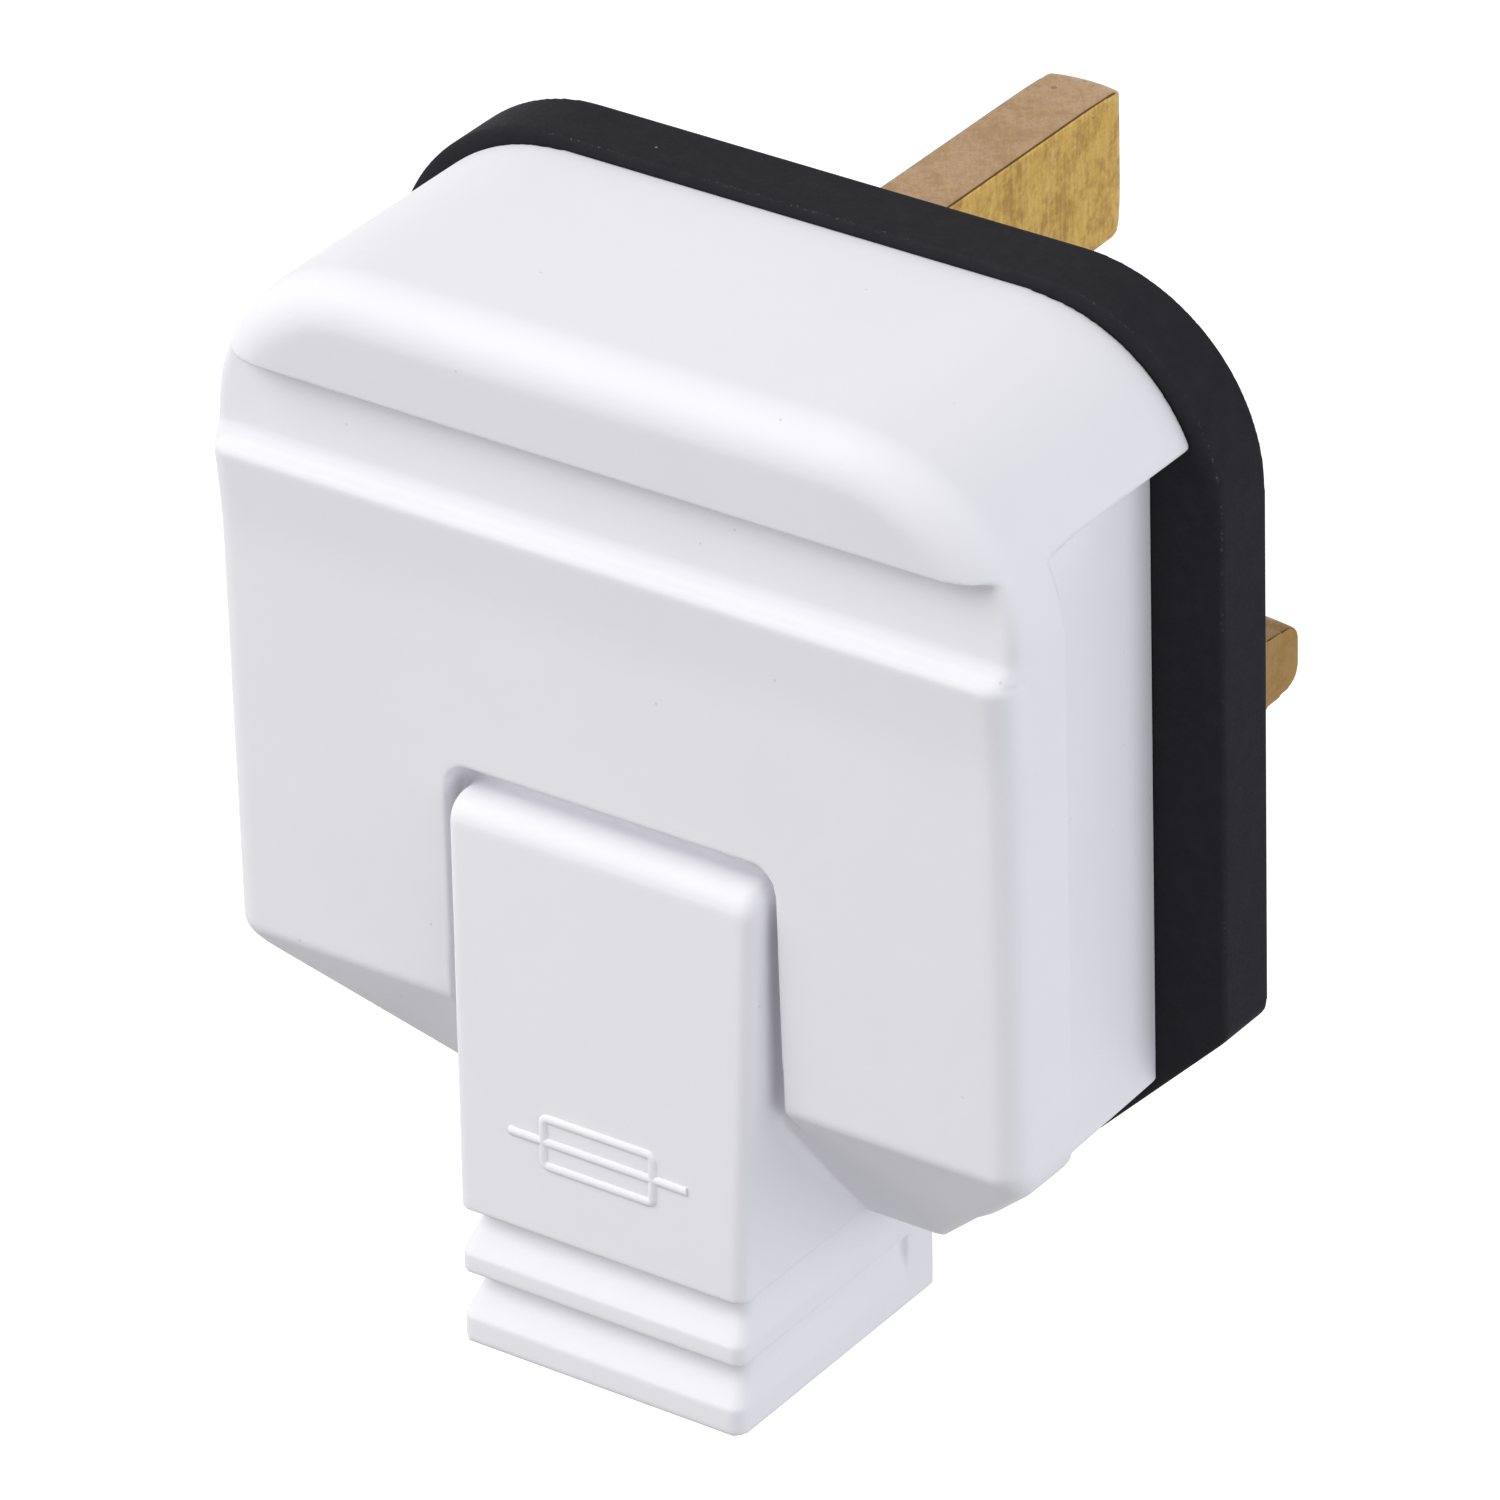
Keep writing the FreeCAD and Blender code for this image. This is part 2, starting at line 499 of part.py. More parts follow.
def fuse_clip(low, foot_left, foot_low):
    """Sprung clip round an end cap, open to the front, on a flat foot."""
    y = fuse_axis_y()
    inner = FUSE_CAP_R + CLIP_GAP
    high = low + CLIP_LONG
    ring = upright(inner + CLIP_SHEET, FUSE_X, y, low, high).cut(upright(inner, FUSE_X, y, low, high))
    reach = 2 * inner
    spread = reach * math.tan(math.radians(CLIP_MOUTH))
    mouth = [(FUSE_X, y, 0), (FUSE_X - spread, y - reach, 0), (FUSE_X + spread, y - reach, 0)]
    ring = ring.cut(slab(mouth, PLAN, low, high))
    floor = -BASE_THICK - LINE_HEAD_TALL
    ring = ring.cut(box(-FAR, FAR, floor, FAR, -FAR, FAR))
    foot = box(foot_left, FUSE_X + inner / 2, floor - CLIP_SHEET, floor, foot_low, high)
    return ring.fuse(foot).removeSplitter()


def line_fuse_clip():
    """Clip that joins the fuse to the line pin."""
    low = FUSE_LOW + CLIP_FROM_END
    return fuse_clip(low, FUSE_X - FUSE_CAP_R, low)


def load_fuse_clip():
    """Clip that joins the fuse to the line terminal; its foot runs under the terminal block."""
    return fuse_clip(load_clip_span()[0], TERMINAL_LEFT, TERMINAL_LOW)


def line_terminal():
    """Small brass block on the foot of the load clip."""
    rear = -BASE_THICK - LINE_HEAD_TALL - CLIP_SHEET
    front = rear - TERMINAL_TALL
    x, z = (TERMINAL_LEFT + TERMINAL_RIGHT) / 2, (TERMINAL_LOW + TERMINAL_HIGH) / 2
    middle = (front + rear) / 2
    body = box(TERMINAL_LEFT, TERMINAL_RIGHT, front, rear, TERMINAL_LOW, TERMINAL_HIGH)
    body = body.cut(upright(TERMINAL_WIRE_R, x, middle, -FAR, FAR))
    return body.cut(rod(TERMINAL_SCREW_R, x, z, front, middle))


def line_terminal_screw():
    """Clamp screw of the line terminal."""
    front = -BASE_THICK - LINE_HEAD_TALL - CLIP_SHEET - TERMINAL_TALL
    x, z = (TERMINAL_LEFT + TERMINAL_RIGHT) / 2, (TERMINAL_LOW + TERMINAL_HIGH) / 2
    return slotted_screw(TERMINAL_SCREW_R, TERMINAL_HEAD_R, CLAMP_HEAD_TALL, x, z, front,
                         front + TERMINAL_TALL / 2, -1)


def clamp_screw(x, z):
    """Clamp screw of the earth or neutral terminal."""
    front = -BASE_THICK - BLOCK_TALL
    return slotted_screw(CLAMP_R, CLAMP_HEAD_R, CLAMP_HEAD_TALL, x, z, front, front + BLOCK_TALL / 2, -1)


def fuse_tube():
    """Ceramic tube of the fuse, reaching into both end caps."""
    y, radius = fuse_axis_y(), FUSE_CAP_R - FUSE_CAP_WALL
    low, high = FUSE_LOW + FUSE_CAP_WALL, FUSE_LOW + FUSE_LONG - FUSE_CAP_WALL
    return upright(radius, FUSE_X, y, low, high).cut(upright(FUSE_TUBE_BORE, FUSE_X, y, low, high))


def fuse_cap(low, closed_low):
    """Plated end cap: a cup whose closed end faces away from the tube."""
    y = fuse_axis_y()
    cup = upright(FUSE_CAP_R, FUSE_X, y, low, low + FUSE_CAP_LONG)
    lift = FUSE_CAP_WALL if closed_low else 0.0
    floor, depth = low + lift, FUSE_CAP_LONG - FUSE_CAP_WALL
    hollow = upright(FUSE_CAP_R - FUSE_CAP_WALL, FUSE_X, y, floor, floor + depth)
    return cup.cut(hollow)


def fuse_wire():
    """Fusible wire from cap to cap inside the tube."""
    low, high = FUSE_LOW + FUSE_CAP_WALL, FUSE_LOW + FUSE_LONG - FUSE_CAP_WALL
    return upright(FUSE_WIRE_R, FUSE_X, fuse_axis_y(), low, high)


def cord_grip_bar():
    """Arched bar that holds the cord against the saddle."""
    rear = -BASE_THICK - GRIP_POST_TALL
    front = rear - GRIP_BAR_THICK
    end = GRIP_POST_X + GRIP_POST_R
    rise = GRIP_ARCH_HALF + GRIP_ARCH
    right = [(GRIP_ARCH_HALF, front - GRIP_ARCH, 0), (rise, front, 0), (end, front, 0), (end, rear, 0),
             (rise, rear, 0), (GRIP_ARCH_HALF, rear - GRIP_ARCH, 0)]
    body = slab(mirrored(right), PLAN, GRIP_Z - GRIP_BAR_TALL / 2, GRIP_Z + GRIP_BAR_TALL / 2)
    for side in (-1, 1):
        body = body.cut(rod(GRIP_SCREW_R + SLIDE, side * GRIP_POST_X, GRIP_Z, -FAR, FAR))
    return body


def cord_grip_screw(side):
    """Screw through one end of the cord grip bar into its post."""
    seat = -BASE_THICK - GRIP_POST_TALL - GRIP_BAR_THICK
    return slotted_screw(GRIP_SCREW_R, GRIP_HEAD_R, GRIP_HEAD_TALL, side * GRIP_POST_X, GRIP_Z, seat,
                         seat + GRIP_SCREW_LONG, -1)


def cover_screw():
    """Screw that holds the cover, its head sunk in the engaging face."""
    tip = -SCREW_SINK - SCREW_LONG
    return slotted_screw(SCREW_R, SCREW_HEAD_R, SCREW_HEAD_TALL, 0, SCREW_Z, -SCREW_SINK, tip, 1)


def screw_washer():
    """Washer that keeps the cover screw captive in the base."""
    seat = -BASE_THICK - BOSS_TALL
    return rod(WASHER_R, 0, SCREW_Z, seat - WASHER_TALL, seat).cut(rod(SCREW_R, 0, SCREW_Z, -FAR, FAR))


def cover_insert():
    """Threaded brass insert in the boss of the cover."""
    front = -BASE_THICK - BOSS_TALL - WASHER_TALL - SLIDE
    return rod(INSERT_R, 0, SCREW_Z, front - INSERT_TALL, front).cut(rod(SCREW_R, 0, SCREW_Z, -FAR, FAR))


def main():
    """Build every sub-part and write it under its own name."""
    os.makedirs("parts", exist_ok=True)
    keep(cover(), "cover")
    keep(base(), "base")
    keep(earth_pin(), "earth_pin")
    keep(neutral_pin(), "neutral_pin")
    keep(line_pin(), "line_pin")
    keep(pin_sleeve(-PIN_HALF_PITCH), "neutral_pin_sleeve")
    keep(pin_sleeve(PIN_HALF_PITCH), "line_pin_sleeve")
    keep(clamp_screw(0, EARTH_RISE), "earth_clamp_screw")
    keep(clamp_screw(-PIN_HALF_PITCH, 0), "neutral_clamp_screw")
    keep(line_terminal(), "line_terminal")
    keep(line_terminal_screw(), "line_clamp_screw")
    keep(line_fuse_clip(), "line_fuse_clip")
    keep(load_fuse_clip(), "load_fuse_clip")
    keep(fuse_tube(), "fuse_tube")
    keep(fuse_cap(FUSE_LOW, True), "fuse_cap_lower")
    keep(fuse_cap(FUSE_LOW + FUSE_LONG - FUSE_CAP_LONG, False), "fuse_cap_upper")
    keep(fuse_wire(), "fuse_wire")
    keep(cord_grip_bar(), "cord_grip_bar")
    keep(cord_grip_screw(-1), "cord_grip_screw_left")
    keep(cord_grip_screw(1), "cord_grip_screw_right")
    keep(cover_screw(), "cover_screw")
    keep(screw_washer(), "screw_washer")
    keep(cover_insert(), "cover_insert")


main()
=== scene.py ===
"""Looks of a UK three pin plug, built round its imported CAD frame, in metres."""

import logging
import math
from dataclasses import dataclass, field
from enum import Enum

import bmesh
import bpy
from mathutils import Matrix, Vector


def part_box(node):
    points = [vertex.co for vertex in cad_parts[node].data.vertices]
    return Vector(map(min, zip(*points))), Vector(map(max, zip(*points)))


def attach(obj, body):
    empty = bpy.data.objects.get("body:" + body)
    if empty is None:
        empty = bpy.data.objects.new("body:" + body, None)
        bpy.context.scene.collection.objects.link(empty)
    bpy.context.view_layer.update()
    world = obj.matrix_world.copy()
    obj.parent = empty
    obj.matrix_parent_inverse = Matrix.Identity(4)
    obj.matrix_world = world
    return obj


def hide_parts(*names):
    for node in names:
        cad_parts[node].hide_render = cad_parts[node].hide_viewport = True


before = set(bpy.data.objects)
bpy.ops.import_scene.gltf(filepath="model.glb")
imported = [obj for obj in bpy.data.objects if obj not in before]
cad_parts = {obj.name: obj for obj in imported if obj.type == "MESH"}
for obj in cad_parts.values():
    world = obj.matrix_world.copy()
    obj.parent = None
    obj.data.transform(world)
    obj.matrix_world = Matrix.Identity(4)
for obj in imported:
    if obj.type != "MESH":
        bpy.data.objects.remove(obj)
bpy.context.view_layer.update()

LOG = logging.getLogger("plug")
MM = 0.001
WELD = 1e-6
FAR = 1.0  # well outside the plug, for a band that a finish doesn't have
QUAD_TRIANGLES = 2
NODE_WIDE, NODE_TALL, NODES_IN_ROW = 220, 260, 6

Colour = tuple[float, float, float]
Span = tuple[float, float]
Socket = bpy.types.NodeSocket
Value = Socket | float | Colour

WHITE: Colour = (1.0, 1.0, 1.0)
RISE: Span = (0.0, 1.0)
FALL: Span = (1.0, 0.0)


class Slot(Enum):
    """Material slots of the record."""

    COVER = "cover_plastic"
    BASE = "base_plastic"
    PIN = "pin_brass"
    SLEEVE = "sleeve_plastic"
    SCREW = "screw_steel"
    INNER = "inner_brass"
    CLIP = "clip_bronze"
    CERAMIC = "fuse_ceramic"
    PLATING = "fuse_plating"
    LINK = "fuse_link"
    GRIP = "grip_plastic"
    FIBRE = "washer_fibre"


class Group(Enum):
    """Shader effects that several materials share."""

    GRAIN = "moulded_grain"
    SPECKS = "pale_specks"
    PATINA = "metal_patina"
    EDGES = "square_edges"
    RIM = "rubbed_rim"


class Kind(Enum):
    """Kinds of socket at the ends of a node group."""

    VALUE = "NodeSocketFloat"
    VECTOR = "NodeSocketVector"
    SHAPE = "NodeSocketGeometry"


class Mix(Enum):
    """What a Mix node blends: its data type, its three inputs and its output."""

    VALUES = ("FLOAT", (0, 2, 3), 0)
    COLOURS = ("RGBA", (0, 6, 7), 2)


@dataclass(frozen=True)
class Mottle:
    """A noise pattern: waves a metre, octaves and the share of the finer octaves."""

    scale: float = 0.0
    detail: float = 3.0
    rough: float = 0.5


class NodeBench:
    """Lays nodes of a tree side by side and wires them.

    Args:
        tree: The shader or geometry tree that is filled.
    """

    def __init__(self, tree: bpy.types.NodeTree) -> None:
        """Keep the tree to fill."""
        self.tree = tree
        self.count = 0

    def add(self, kind: str, **settings: object) -> bpy.types.Node:
        """Add a node.

        Args:
            kind: Blender's type name of the node.
            **settings: Properties of the node to set.

        Returns:
            The new node.
        """
        node = self.tree.nodes.new(kind)
        row, column = divmod(self.count, NODES_IN_ROW)
        node.location = (NODE_WIDE * column, -NODE_TALL * row)
        self.count += 1
        for key, value in settings.items():
            setattr(node, key, value)
        return node

    def wire(self, start: Socket, end: Socket) -> None:
        """Link an output to an input."""
        self.tree.links.new(start, end)

    def feed(self, socket: Socket, value: Value) -> None:
        """Link an output to an input, or set the input to a number or a colour."""
        if isinstance(value, Socket):
            self.wire(value, socket)
        else:
            socket.default_value = (*value, 1.0) if socket.type == "RGBA" else value

    def maths(self, operation: str, *values: Value) -> Socket:
        """Add a Math node.

        Args:
            operation: Name of the operation.
            *values: Socket or number for each of its inputs.

        Returns:
            Its output.
        """
        node = self.add("ShaderNodeMath", operation=operation)
        for socket, value in zip(node.inputs, values):
            self.feed(socket, value)
        return node.outputs[0]

    def fold(self, operation: str, first: Value, *others: Value) -> Socket:
        """Run a Math operation over several values, one after the other.

        Args:
            operation: Name of the operation.
            first: Value to start with.
            *others: Values to take in.

        Returns:
            The last output.
        """
        for other in others:
            first = self.maths(operation, first, other)
        return first

    def split(self, vector: Socket) -> list[Socket]:
        """Take a vector apart into X, Y and Z."""
        node = self.add("ShaderNodeSeparateXYZ")
        self.wire(vector, node.inputs[0])
        return list(node.outputs)

    def ramp(self, source: Socket, span: Span, out: Span = RISE) -> Socket:
        """Add a clamped Map Range node.

        Args:
            source: Value to map.
            span: Values that become the first and the second result.
            out: The two results.

        Returns:
            Its output.
        """
        node = self.add("ShaderNodeMapRange", interpolation_type="SMOOTHSTEP")
        self.wire(source, node.inputs["Value"])
        for name, value in zip(("From Min", "From Max", "To Min", "To Max"), (*span, *out)):
            node.inputs[name].default_value = value
        return node.outputs["Result"]

    def noise(self, vector: Socket, pattern: Mottle, scale: Socket | None = None) -> Socket:
        """Add a Noise Texture.

        Args:
            vector: Place to read the pattern at.
            pattern: The pattern.
            scale: Socket for its scale, where the pattern doesn't give it.

        Returns:
            Its value.
        """
        node = self.add("ShaderNodeTexNoise")
        self.wire(vector, node.inputs["Vector"])
        self.feed(node.inputs["Scale"], pattern.scale if scale is None else scale)
        node.inputs["Detail"].default_value = pattern.detail
        node.inputs["Roughness"].default_value = pattern.rough
        return node.outputs["Fac"]

    def blend(self, share: Value, first: Value, second: Value, mix: Mix = Mix.COLOURS) -> Socket:
        """Mix two colours or two values.

        Args:
            share: Share of the second one.
            first: Socket, colour or number.
            second: Socket, colour or number.
            mix: What is mixed.

        Returns:
            The result.
        """
        data_type, places, out = mix.value
        node = self.add("ShaderNodeMix", data_type=data_type)
        for index, value in zip(places, (share, first, second)):
            self.feed(node.inputs[index], value)
        return node.outputs[out]


class GroupBench(NodeBench):
    """A bench on a new node group, with both ends of the group in place.

    Args:
        name: Name of the group.
        tree_kind: Blender's type name of its tree.
        inputs: Names and kinds of its inputs.
        outputs: Names and kinds of its outputs.
    """

    def __init__(self, name: str, tree_kind: str, inputs: dict[str, Kind], outputs: dict[str, Kind]) -> None:
        """Open the group."""
        super().__init__(bpy.data.node_groups.new(name, tree_kind))
        for way, sockets in (("INPUT", inputs), ("OUTPUT", outputs)):
            for title, kind in sockets.items():
                self.tree.interface.new_socket(title, in_out=way, socket_type=kind.value)
        self.given = self.add("NodeGroupInput").outputs
        self.done = self.add("NodeGroupOutput").inputs


class EffectBench(GroupBench):
    """A bench on the group of a shader effect, which is read at a vector.

    Args:
        group: Which effect it is.
        inputs: Names of its number inputs.
        outputs: Names of its values.
    """

    def __init__(self, group: Group, inputs: tuple[str, ...], outputs: tuple[str, ...]) -> None:
        """Open the group."""
        values = dict.fromkeys(inputs, Kind.VALUE)
        super().__init__(group.value, "ShaderNodeTree", {"Vector": Kind.VECTOR, **values},
                         dict.fromkeys(outputs, Kind.VALUE))


class ShapeBench(GroupBench):
    """A bench on a geometry group that sweeps round beads along curves.

    Args:
        name: Name of the group.
        inputs: Names and kinds of its inputs.
    """

    def __init__(self, name: str, inputs: dict[str, Kind]) -> None:
        """Open the group."""
        super().__init__(name, "GeometryNodeTree", inputs, {"Geometry": Kind.SHAPE})

    def join(self, *shapes: Socket) -> Socket:
        """Put shapes together."""
        node = self.add("GeometryNodeJoinGeometry")
        for shape in shapes:
            self.wire(shape, node.inputs[0])
        return node.outputs[0]

    def sweep(self, curve: Socket, radius: Socket, sides: int) -> Socket:
        """Sweep a bead with closed ends along a curve.

        Args:
            curve: The curve.
            radius: Radius of the bead.
            sides: Number of its sides.

        Returns:
            The mesh of the bead.
        """
        profile = self.add("GeometryNodeCurvePrimitiveCircle")
        profile.inputs["Resolution"].default_value = sides
        self.wire(radius, profile.inputs["Radius"])
        node = self.add("GeometryNodeCurveToMesh")
        self.wire(curve, node.inputs["Curve"])
        self.wire(profile.outputs["Curve"], node.inputs["Profile Curve"])
        node.inputs["Fill Caps"].default_value = True
        return node.outputs["Mesh"]

    def close(self, shape: Socket, material: bpy.types.Material) -> bpy.types.NodeTree:
        """Make a shape real, give it its finish and put it out.

        Args:
            shape: The finished shape.
            material: Its finish.

        Returns:
            The whole tree.
        """
        real = self.add("GeometryNodeRealizeInstances")
        self.wire(shape, real.inputs["Geometry"])
        paint = self.add("GeometryNodeSetMaterial")
        self.wire(real.outputs["Geometry"], paint.inputs["Geometry"])
        paint.inputs["Material"].default_value = material
        self.wire(paint.outputs["Geometry"], self.done["Geometry"])
        return self.tree


@dataclass(frozen=True)
class Grain:
    """Fine moulded grain: a height and a broad tone."""

    fine: Mottle = Mottle(detail=2.0)
    broad: Mottle = Mottle(detail=4.0, rough=0.6)

    def build(self) -> bpy.types.NodeTree:
        """Fill the group."""
        bench = EffectBench(Group.GRAIN, ("Fine", "Broad"), ("Height", "Tone"))
        given, done = bench.given, bench.done
        bench.wire(bench.noise(given["Vector"], self.fine, given["Fine"]), done["Height"])
        bench.wire(bench.noise(given["Vector"], self.broad, given["Broad"]), done["Tone"])
        return bench.tree


@dataclass(frozen=True)
class Edges:
    """Long rounded edges along Y between square faces: a mask read from the normal."""

    square: Span = (0.82, 0.95)
    lean: Span = (0.1, 0.3)

    def build(self) -> bpy.types.NodeTree:
        """Fill the group."""
        bench = EffectBench(Group.EDGES, (), ("Mask",))
        parts = [bench.maths("ABSOLUTE", part) for part in bench.split(bench.given["Vector"])]
        round_over = bench.ramp(bench.fold("MAXIMUM", *parts), self.square, FALL)
        along = bench.ramp(parts[1], self.lean, FALL)
        bench.wire(bench.maths("MULTIPLY", round_over, along), bench.done["Mask"])
        return bench.tree


@dataclass(frozen=True)
class Rim:
    """Broken pale line where a side meets a front face at depth Plane."""

    front: Span = (0.6, 0.95)
    dash: Mottle = Mottle(scale=3200.0, detail=4.0, rough=0.75)
    dash_span: Span = (0.52, 0.68)
    patch: Mottle = Mottle(scale=170.0, detail=2.0)
    patch_span: Span = (0.42, 0.62)
    patch_share: Span = (0.15, 1.0)
    height: Span = (0.0, 25.0 * MM)
    height_share: Span = (0.3, 1.0)

    def build(self) -> bpy.types.NodeTree:
        """Fill the group."""
        bench = EffectBench(Group.RIM, ("Plane", "Wide"), ("Mask",))
        given = bench.given
        place = bench.split(given["Vector"])
        away = bench.maths("ABSOLUTE", bench.maths("SUBTRACT", place[1], given["Plane"]))
        band = bench.maths("LESS_THAN", away, given["Wide"])
        facing = bench.split(bench.add("ShaderNodeTexCoord").outputs["Normal"])
        side = bench.ramp(bench.maths("ABSOLUTE", facing[1]), self.front, FALL)
        broken = bench.ramp(bench.noise(given["Vector"], self.dash), self.dash_span)
        patchy = bench.ramp(bench.noise(given["Vector"], self.patch), self.patch_span, self.patch_share)
        upper = bench.ramp(place[2], self.height, self.height_share)
        bench.wire(bench.fold("MULTIPLY", band, side, broken, upper, patchy), bench.done["Mask"])
        return bench.tree


@dataclass(frozen=True)
class Specks:
    """Small scattered specks: a mask whose share is set by Spread."""

    reach: float = 0.22

    def build(self) -> bpy.types.NodeTree:
        """Fill the group."""
        bench = EffectBench(Group.SPECKS, ("Scale", "Spread"), ("Mask",))
        given = bench.given
        cells = bench.add("ShaderNodeTexVoronoi")
        bench.wire(given["Vector"], cells.inputs["Vector"])
        bench.wire(given["Scale"], cells.inputs["Scale"])
        near = bench.maths("LESS_THAN", cells.outputs["Distance"], self.reach)
        chance = bench.add("ShaderNodeSeparateColor")
        bench.wire(cells.outputs["Color"], chance.inputs[0])
        rare = bench.maths("LESS_THAN", chance.outputs[0], given["Spread"])
        bench.wire(bench.maths("MULTIPLY", near, rare), bench.done["Mask"])
        return bench.tree


@dataclass(frozen=True)
class Streak:
    """A turn and a stretch that draw a noise out into lines."""

    turn: tuple[float, float, float]
    stretch: tuple[float, float, float]

    def lay(self, bench: NodeBench, vector: Socket) -> Socket:
        """Turn and stretch a place."""
        node = bench.add("ShaderNodeMapping", vector_type="TEXTURE")
        bench.wire(vector, node.inputs["Vector"])
        node.inputs["Rotation"].default_value = self.turn
        node.inputs["Scale"].default_value = self.stretch
        return node.outputs["Vector"]


@dataclass(frozen=True)
class Patina:
    """Handled metal: tarnish mask, brushed lines and fine scratches."""

    coarse: Mottle = Mottle(detail=6.0, rough=0.65)
    coarse_share: float = 0.7
    finer: Mottle = Mottle(detail=4.0, rough=0.7)
    finer_share: float = 0.3
    finer_times: float = 4.0
    tarnish_span: Span = (0.38, 0.64)
    line: Mottle = Mottle(detail=3.0, rough=0.6)
    line_streak: Streak = Streak(turn=(0.0, 0.0, 0.62), stretch=(1.0, 8.0, 12.0))
    nick: Mottle = Mottle(scale=2600.0, detail=1.0)
    nick_streak: Streak = Streak(turn=(0.9, 0.0, 0.3), stretch=(1.0, 20.0, 1.0))
    nick_span: Span = (0.78, 0.86)

    def build(self) -> bpy.types.NodeTree:
        """Fill the group."""
        bench = EffectBench(Group.PATINA, ("Blotch", "Lines"), ("Tarnish", "Brushed", "Scratch"))
        given, done = bench.given, bench.done
        place = given["Vector"]
        small = bench.maths("MULTIPLY", given["Blotch"], self.finer_times)
        coarse = bench.maths("MULTIPLY", bench.noise(place, self.coarse, given["Blotch"]), self.coarse_share)
        finer = bench.maths("MULTIPLY", bench.noise(place, self.finer, small), self.finer_share)
        bench.wire(bench.ramp(bench.maths("ADD", coarse, finer), self.tarnish_span), done["Tarnish"])
        lines = bench.noise(self.line_streak.lay(bench, place), self.line, given["Lines"])
        bench.wire(lines, done["Brushed"])
        nicks = bench.noise(self.nick_streak.lay(bench, place), self.nick)
        bench.wire(bench.ramp(nicks, self.nick_span), done["Scratch"])
        return bench.tree


class EffectLibrary:
    """Builds the shared shader groups once and places them in materials."""

    def __init__(self) -> None:
        """Build every group."""
        self.groups = {Group.GRAIN: Grain().build(), Group.SPECKS: Specks().build(),
                       Group.PATINA: Patina().build(), Group.EDGES: Edges().build(), Group.RIM: Rim().build()}

    def place(self, bench: NodeBench, group: Group, vector: Socket, **values: float) -> bpy.types.Node:
        """Put a group into a material.

        Args:
            bench: Bench on the material's tree.
            group: Which effect.
            vector: Place to read it at.
            **values: Its number inputs.

        Returns:
            The group node.
        """
        node = bench.add("ShaderNodeGroup", node_tree=self.groups[group])
        bench.wire(vector, node.inputs["Vector"])
        for name, value in values.items():
            node.inputs[name].default_value = value
        return node


@dataclass(frozen=True)
class Finish:
    """The finish of one slot."""

    slot: Slot
    colour: Colour

    def start(self) -> tuple[bpy.types.Material, NodeBench, bpy.types.Node]:
        """Open the material.

        Returns:
            The material, a bench on its tree and its Principled node.
        """
        material = bpy.data.materials.new(self.slot.value)
        material.use_nodes = True
        return material, NodeBench(material.node_tree), material.node_tree.nodes["Principled BSDF"]

    @staticmethod
    def emboss(bench: NodeBench, shader: bpy.types.Node, height: Socket, strength: float,
               depth: float) -> None:
        """Let a height show as a bump.

        Args:
            bench: Bench on the material's tree.
            shader: Its Principled node.
            height: The height.
            strength: Strength of the bump.
            depth: Its depth.
        """
        bump = bench.add("ShaderNodeBump")
        bump.inputs["Strength"].default_value = strength
        bump.inputs["Distance"].default_value = depth
        bench.wire(height, bump.inputs["Height"])
        bench.wire(bump.outputs["Normal"], shader.inputs["Normal"])


@dataclass(frozen=True)
class Moulded(Finish):
    """A moulded, fired or pressed finish without metal."""

    tone: Colour
    speck: Colour
    roughness: float
    specular: float
    fine: float = 3500.0
    broad: float = 90.0
    depth: float = 0.03 * MM
    bump: float = 0.6
    tone_span: Span = (0.35, 0.7)
    tone_share: float = 0.5
    grain_span: Span = (0.3, 0.7)
    rough_swing: float = 0.06
    speck_scale: float = 1500.0
    speck_spread: float = 0.03
    rim: float = FAR
    rim_wide: float = 0.14 * MM
    rim_share: float = 0.0

    def make(self, effects: EffectLibrary) -> bpy.types.Material:
        """Build the material.

        Args:
            effects: The shared shader groups.

        Returns:
            The material.
        """
        material, bench, shader = self.start()
        place = bench.add("ShaderNodeTexCoord").outputs["Object"]
        grain = effects.place(bench, Group.GRAIN, place, Fine=self.fine, Broad=self.broad)
        specks = effects.place(bench, Group.SPECKS, place, Scale=self.speck_scale, Spread=self.speck_spread)
        rim = effects.place(bench, Group.RIM, place, Plane=self.rim, Wide=self.rim_wide)
        share = bench.maths("MULTIPLY", bench.ramp(grain.outputs["Tone"], self.tone_span), self.tone_share)
        body = bench.blend(share, self.colour, self.tone)
        rubbed = bench.maths("MULTIPLY", rim.outputs["Mask"], self.rim_share)
        dotted = bench.maths("MAXIMUM", specks.outputs["Mask"], rubbed)
        bench.wire(bench.blend(dotted, body, self.speck), shader.inputs["Base Color"])
        limits = (self.roughness - self.rough_swing, self.roughness + self.rough_swing)
        bench.wire(bench.ramp(grain.outputs["Height"], self.grain_span, limits), shader.inputs["Roughness"])
        shader.inputs["Specular IOR Level"].default_value = self.specular
        self.emboss(bench, shader, grain.outputs["Height"], self.bump, self.depth)
        return material


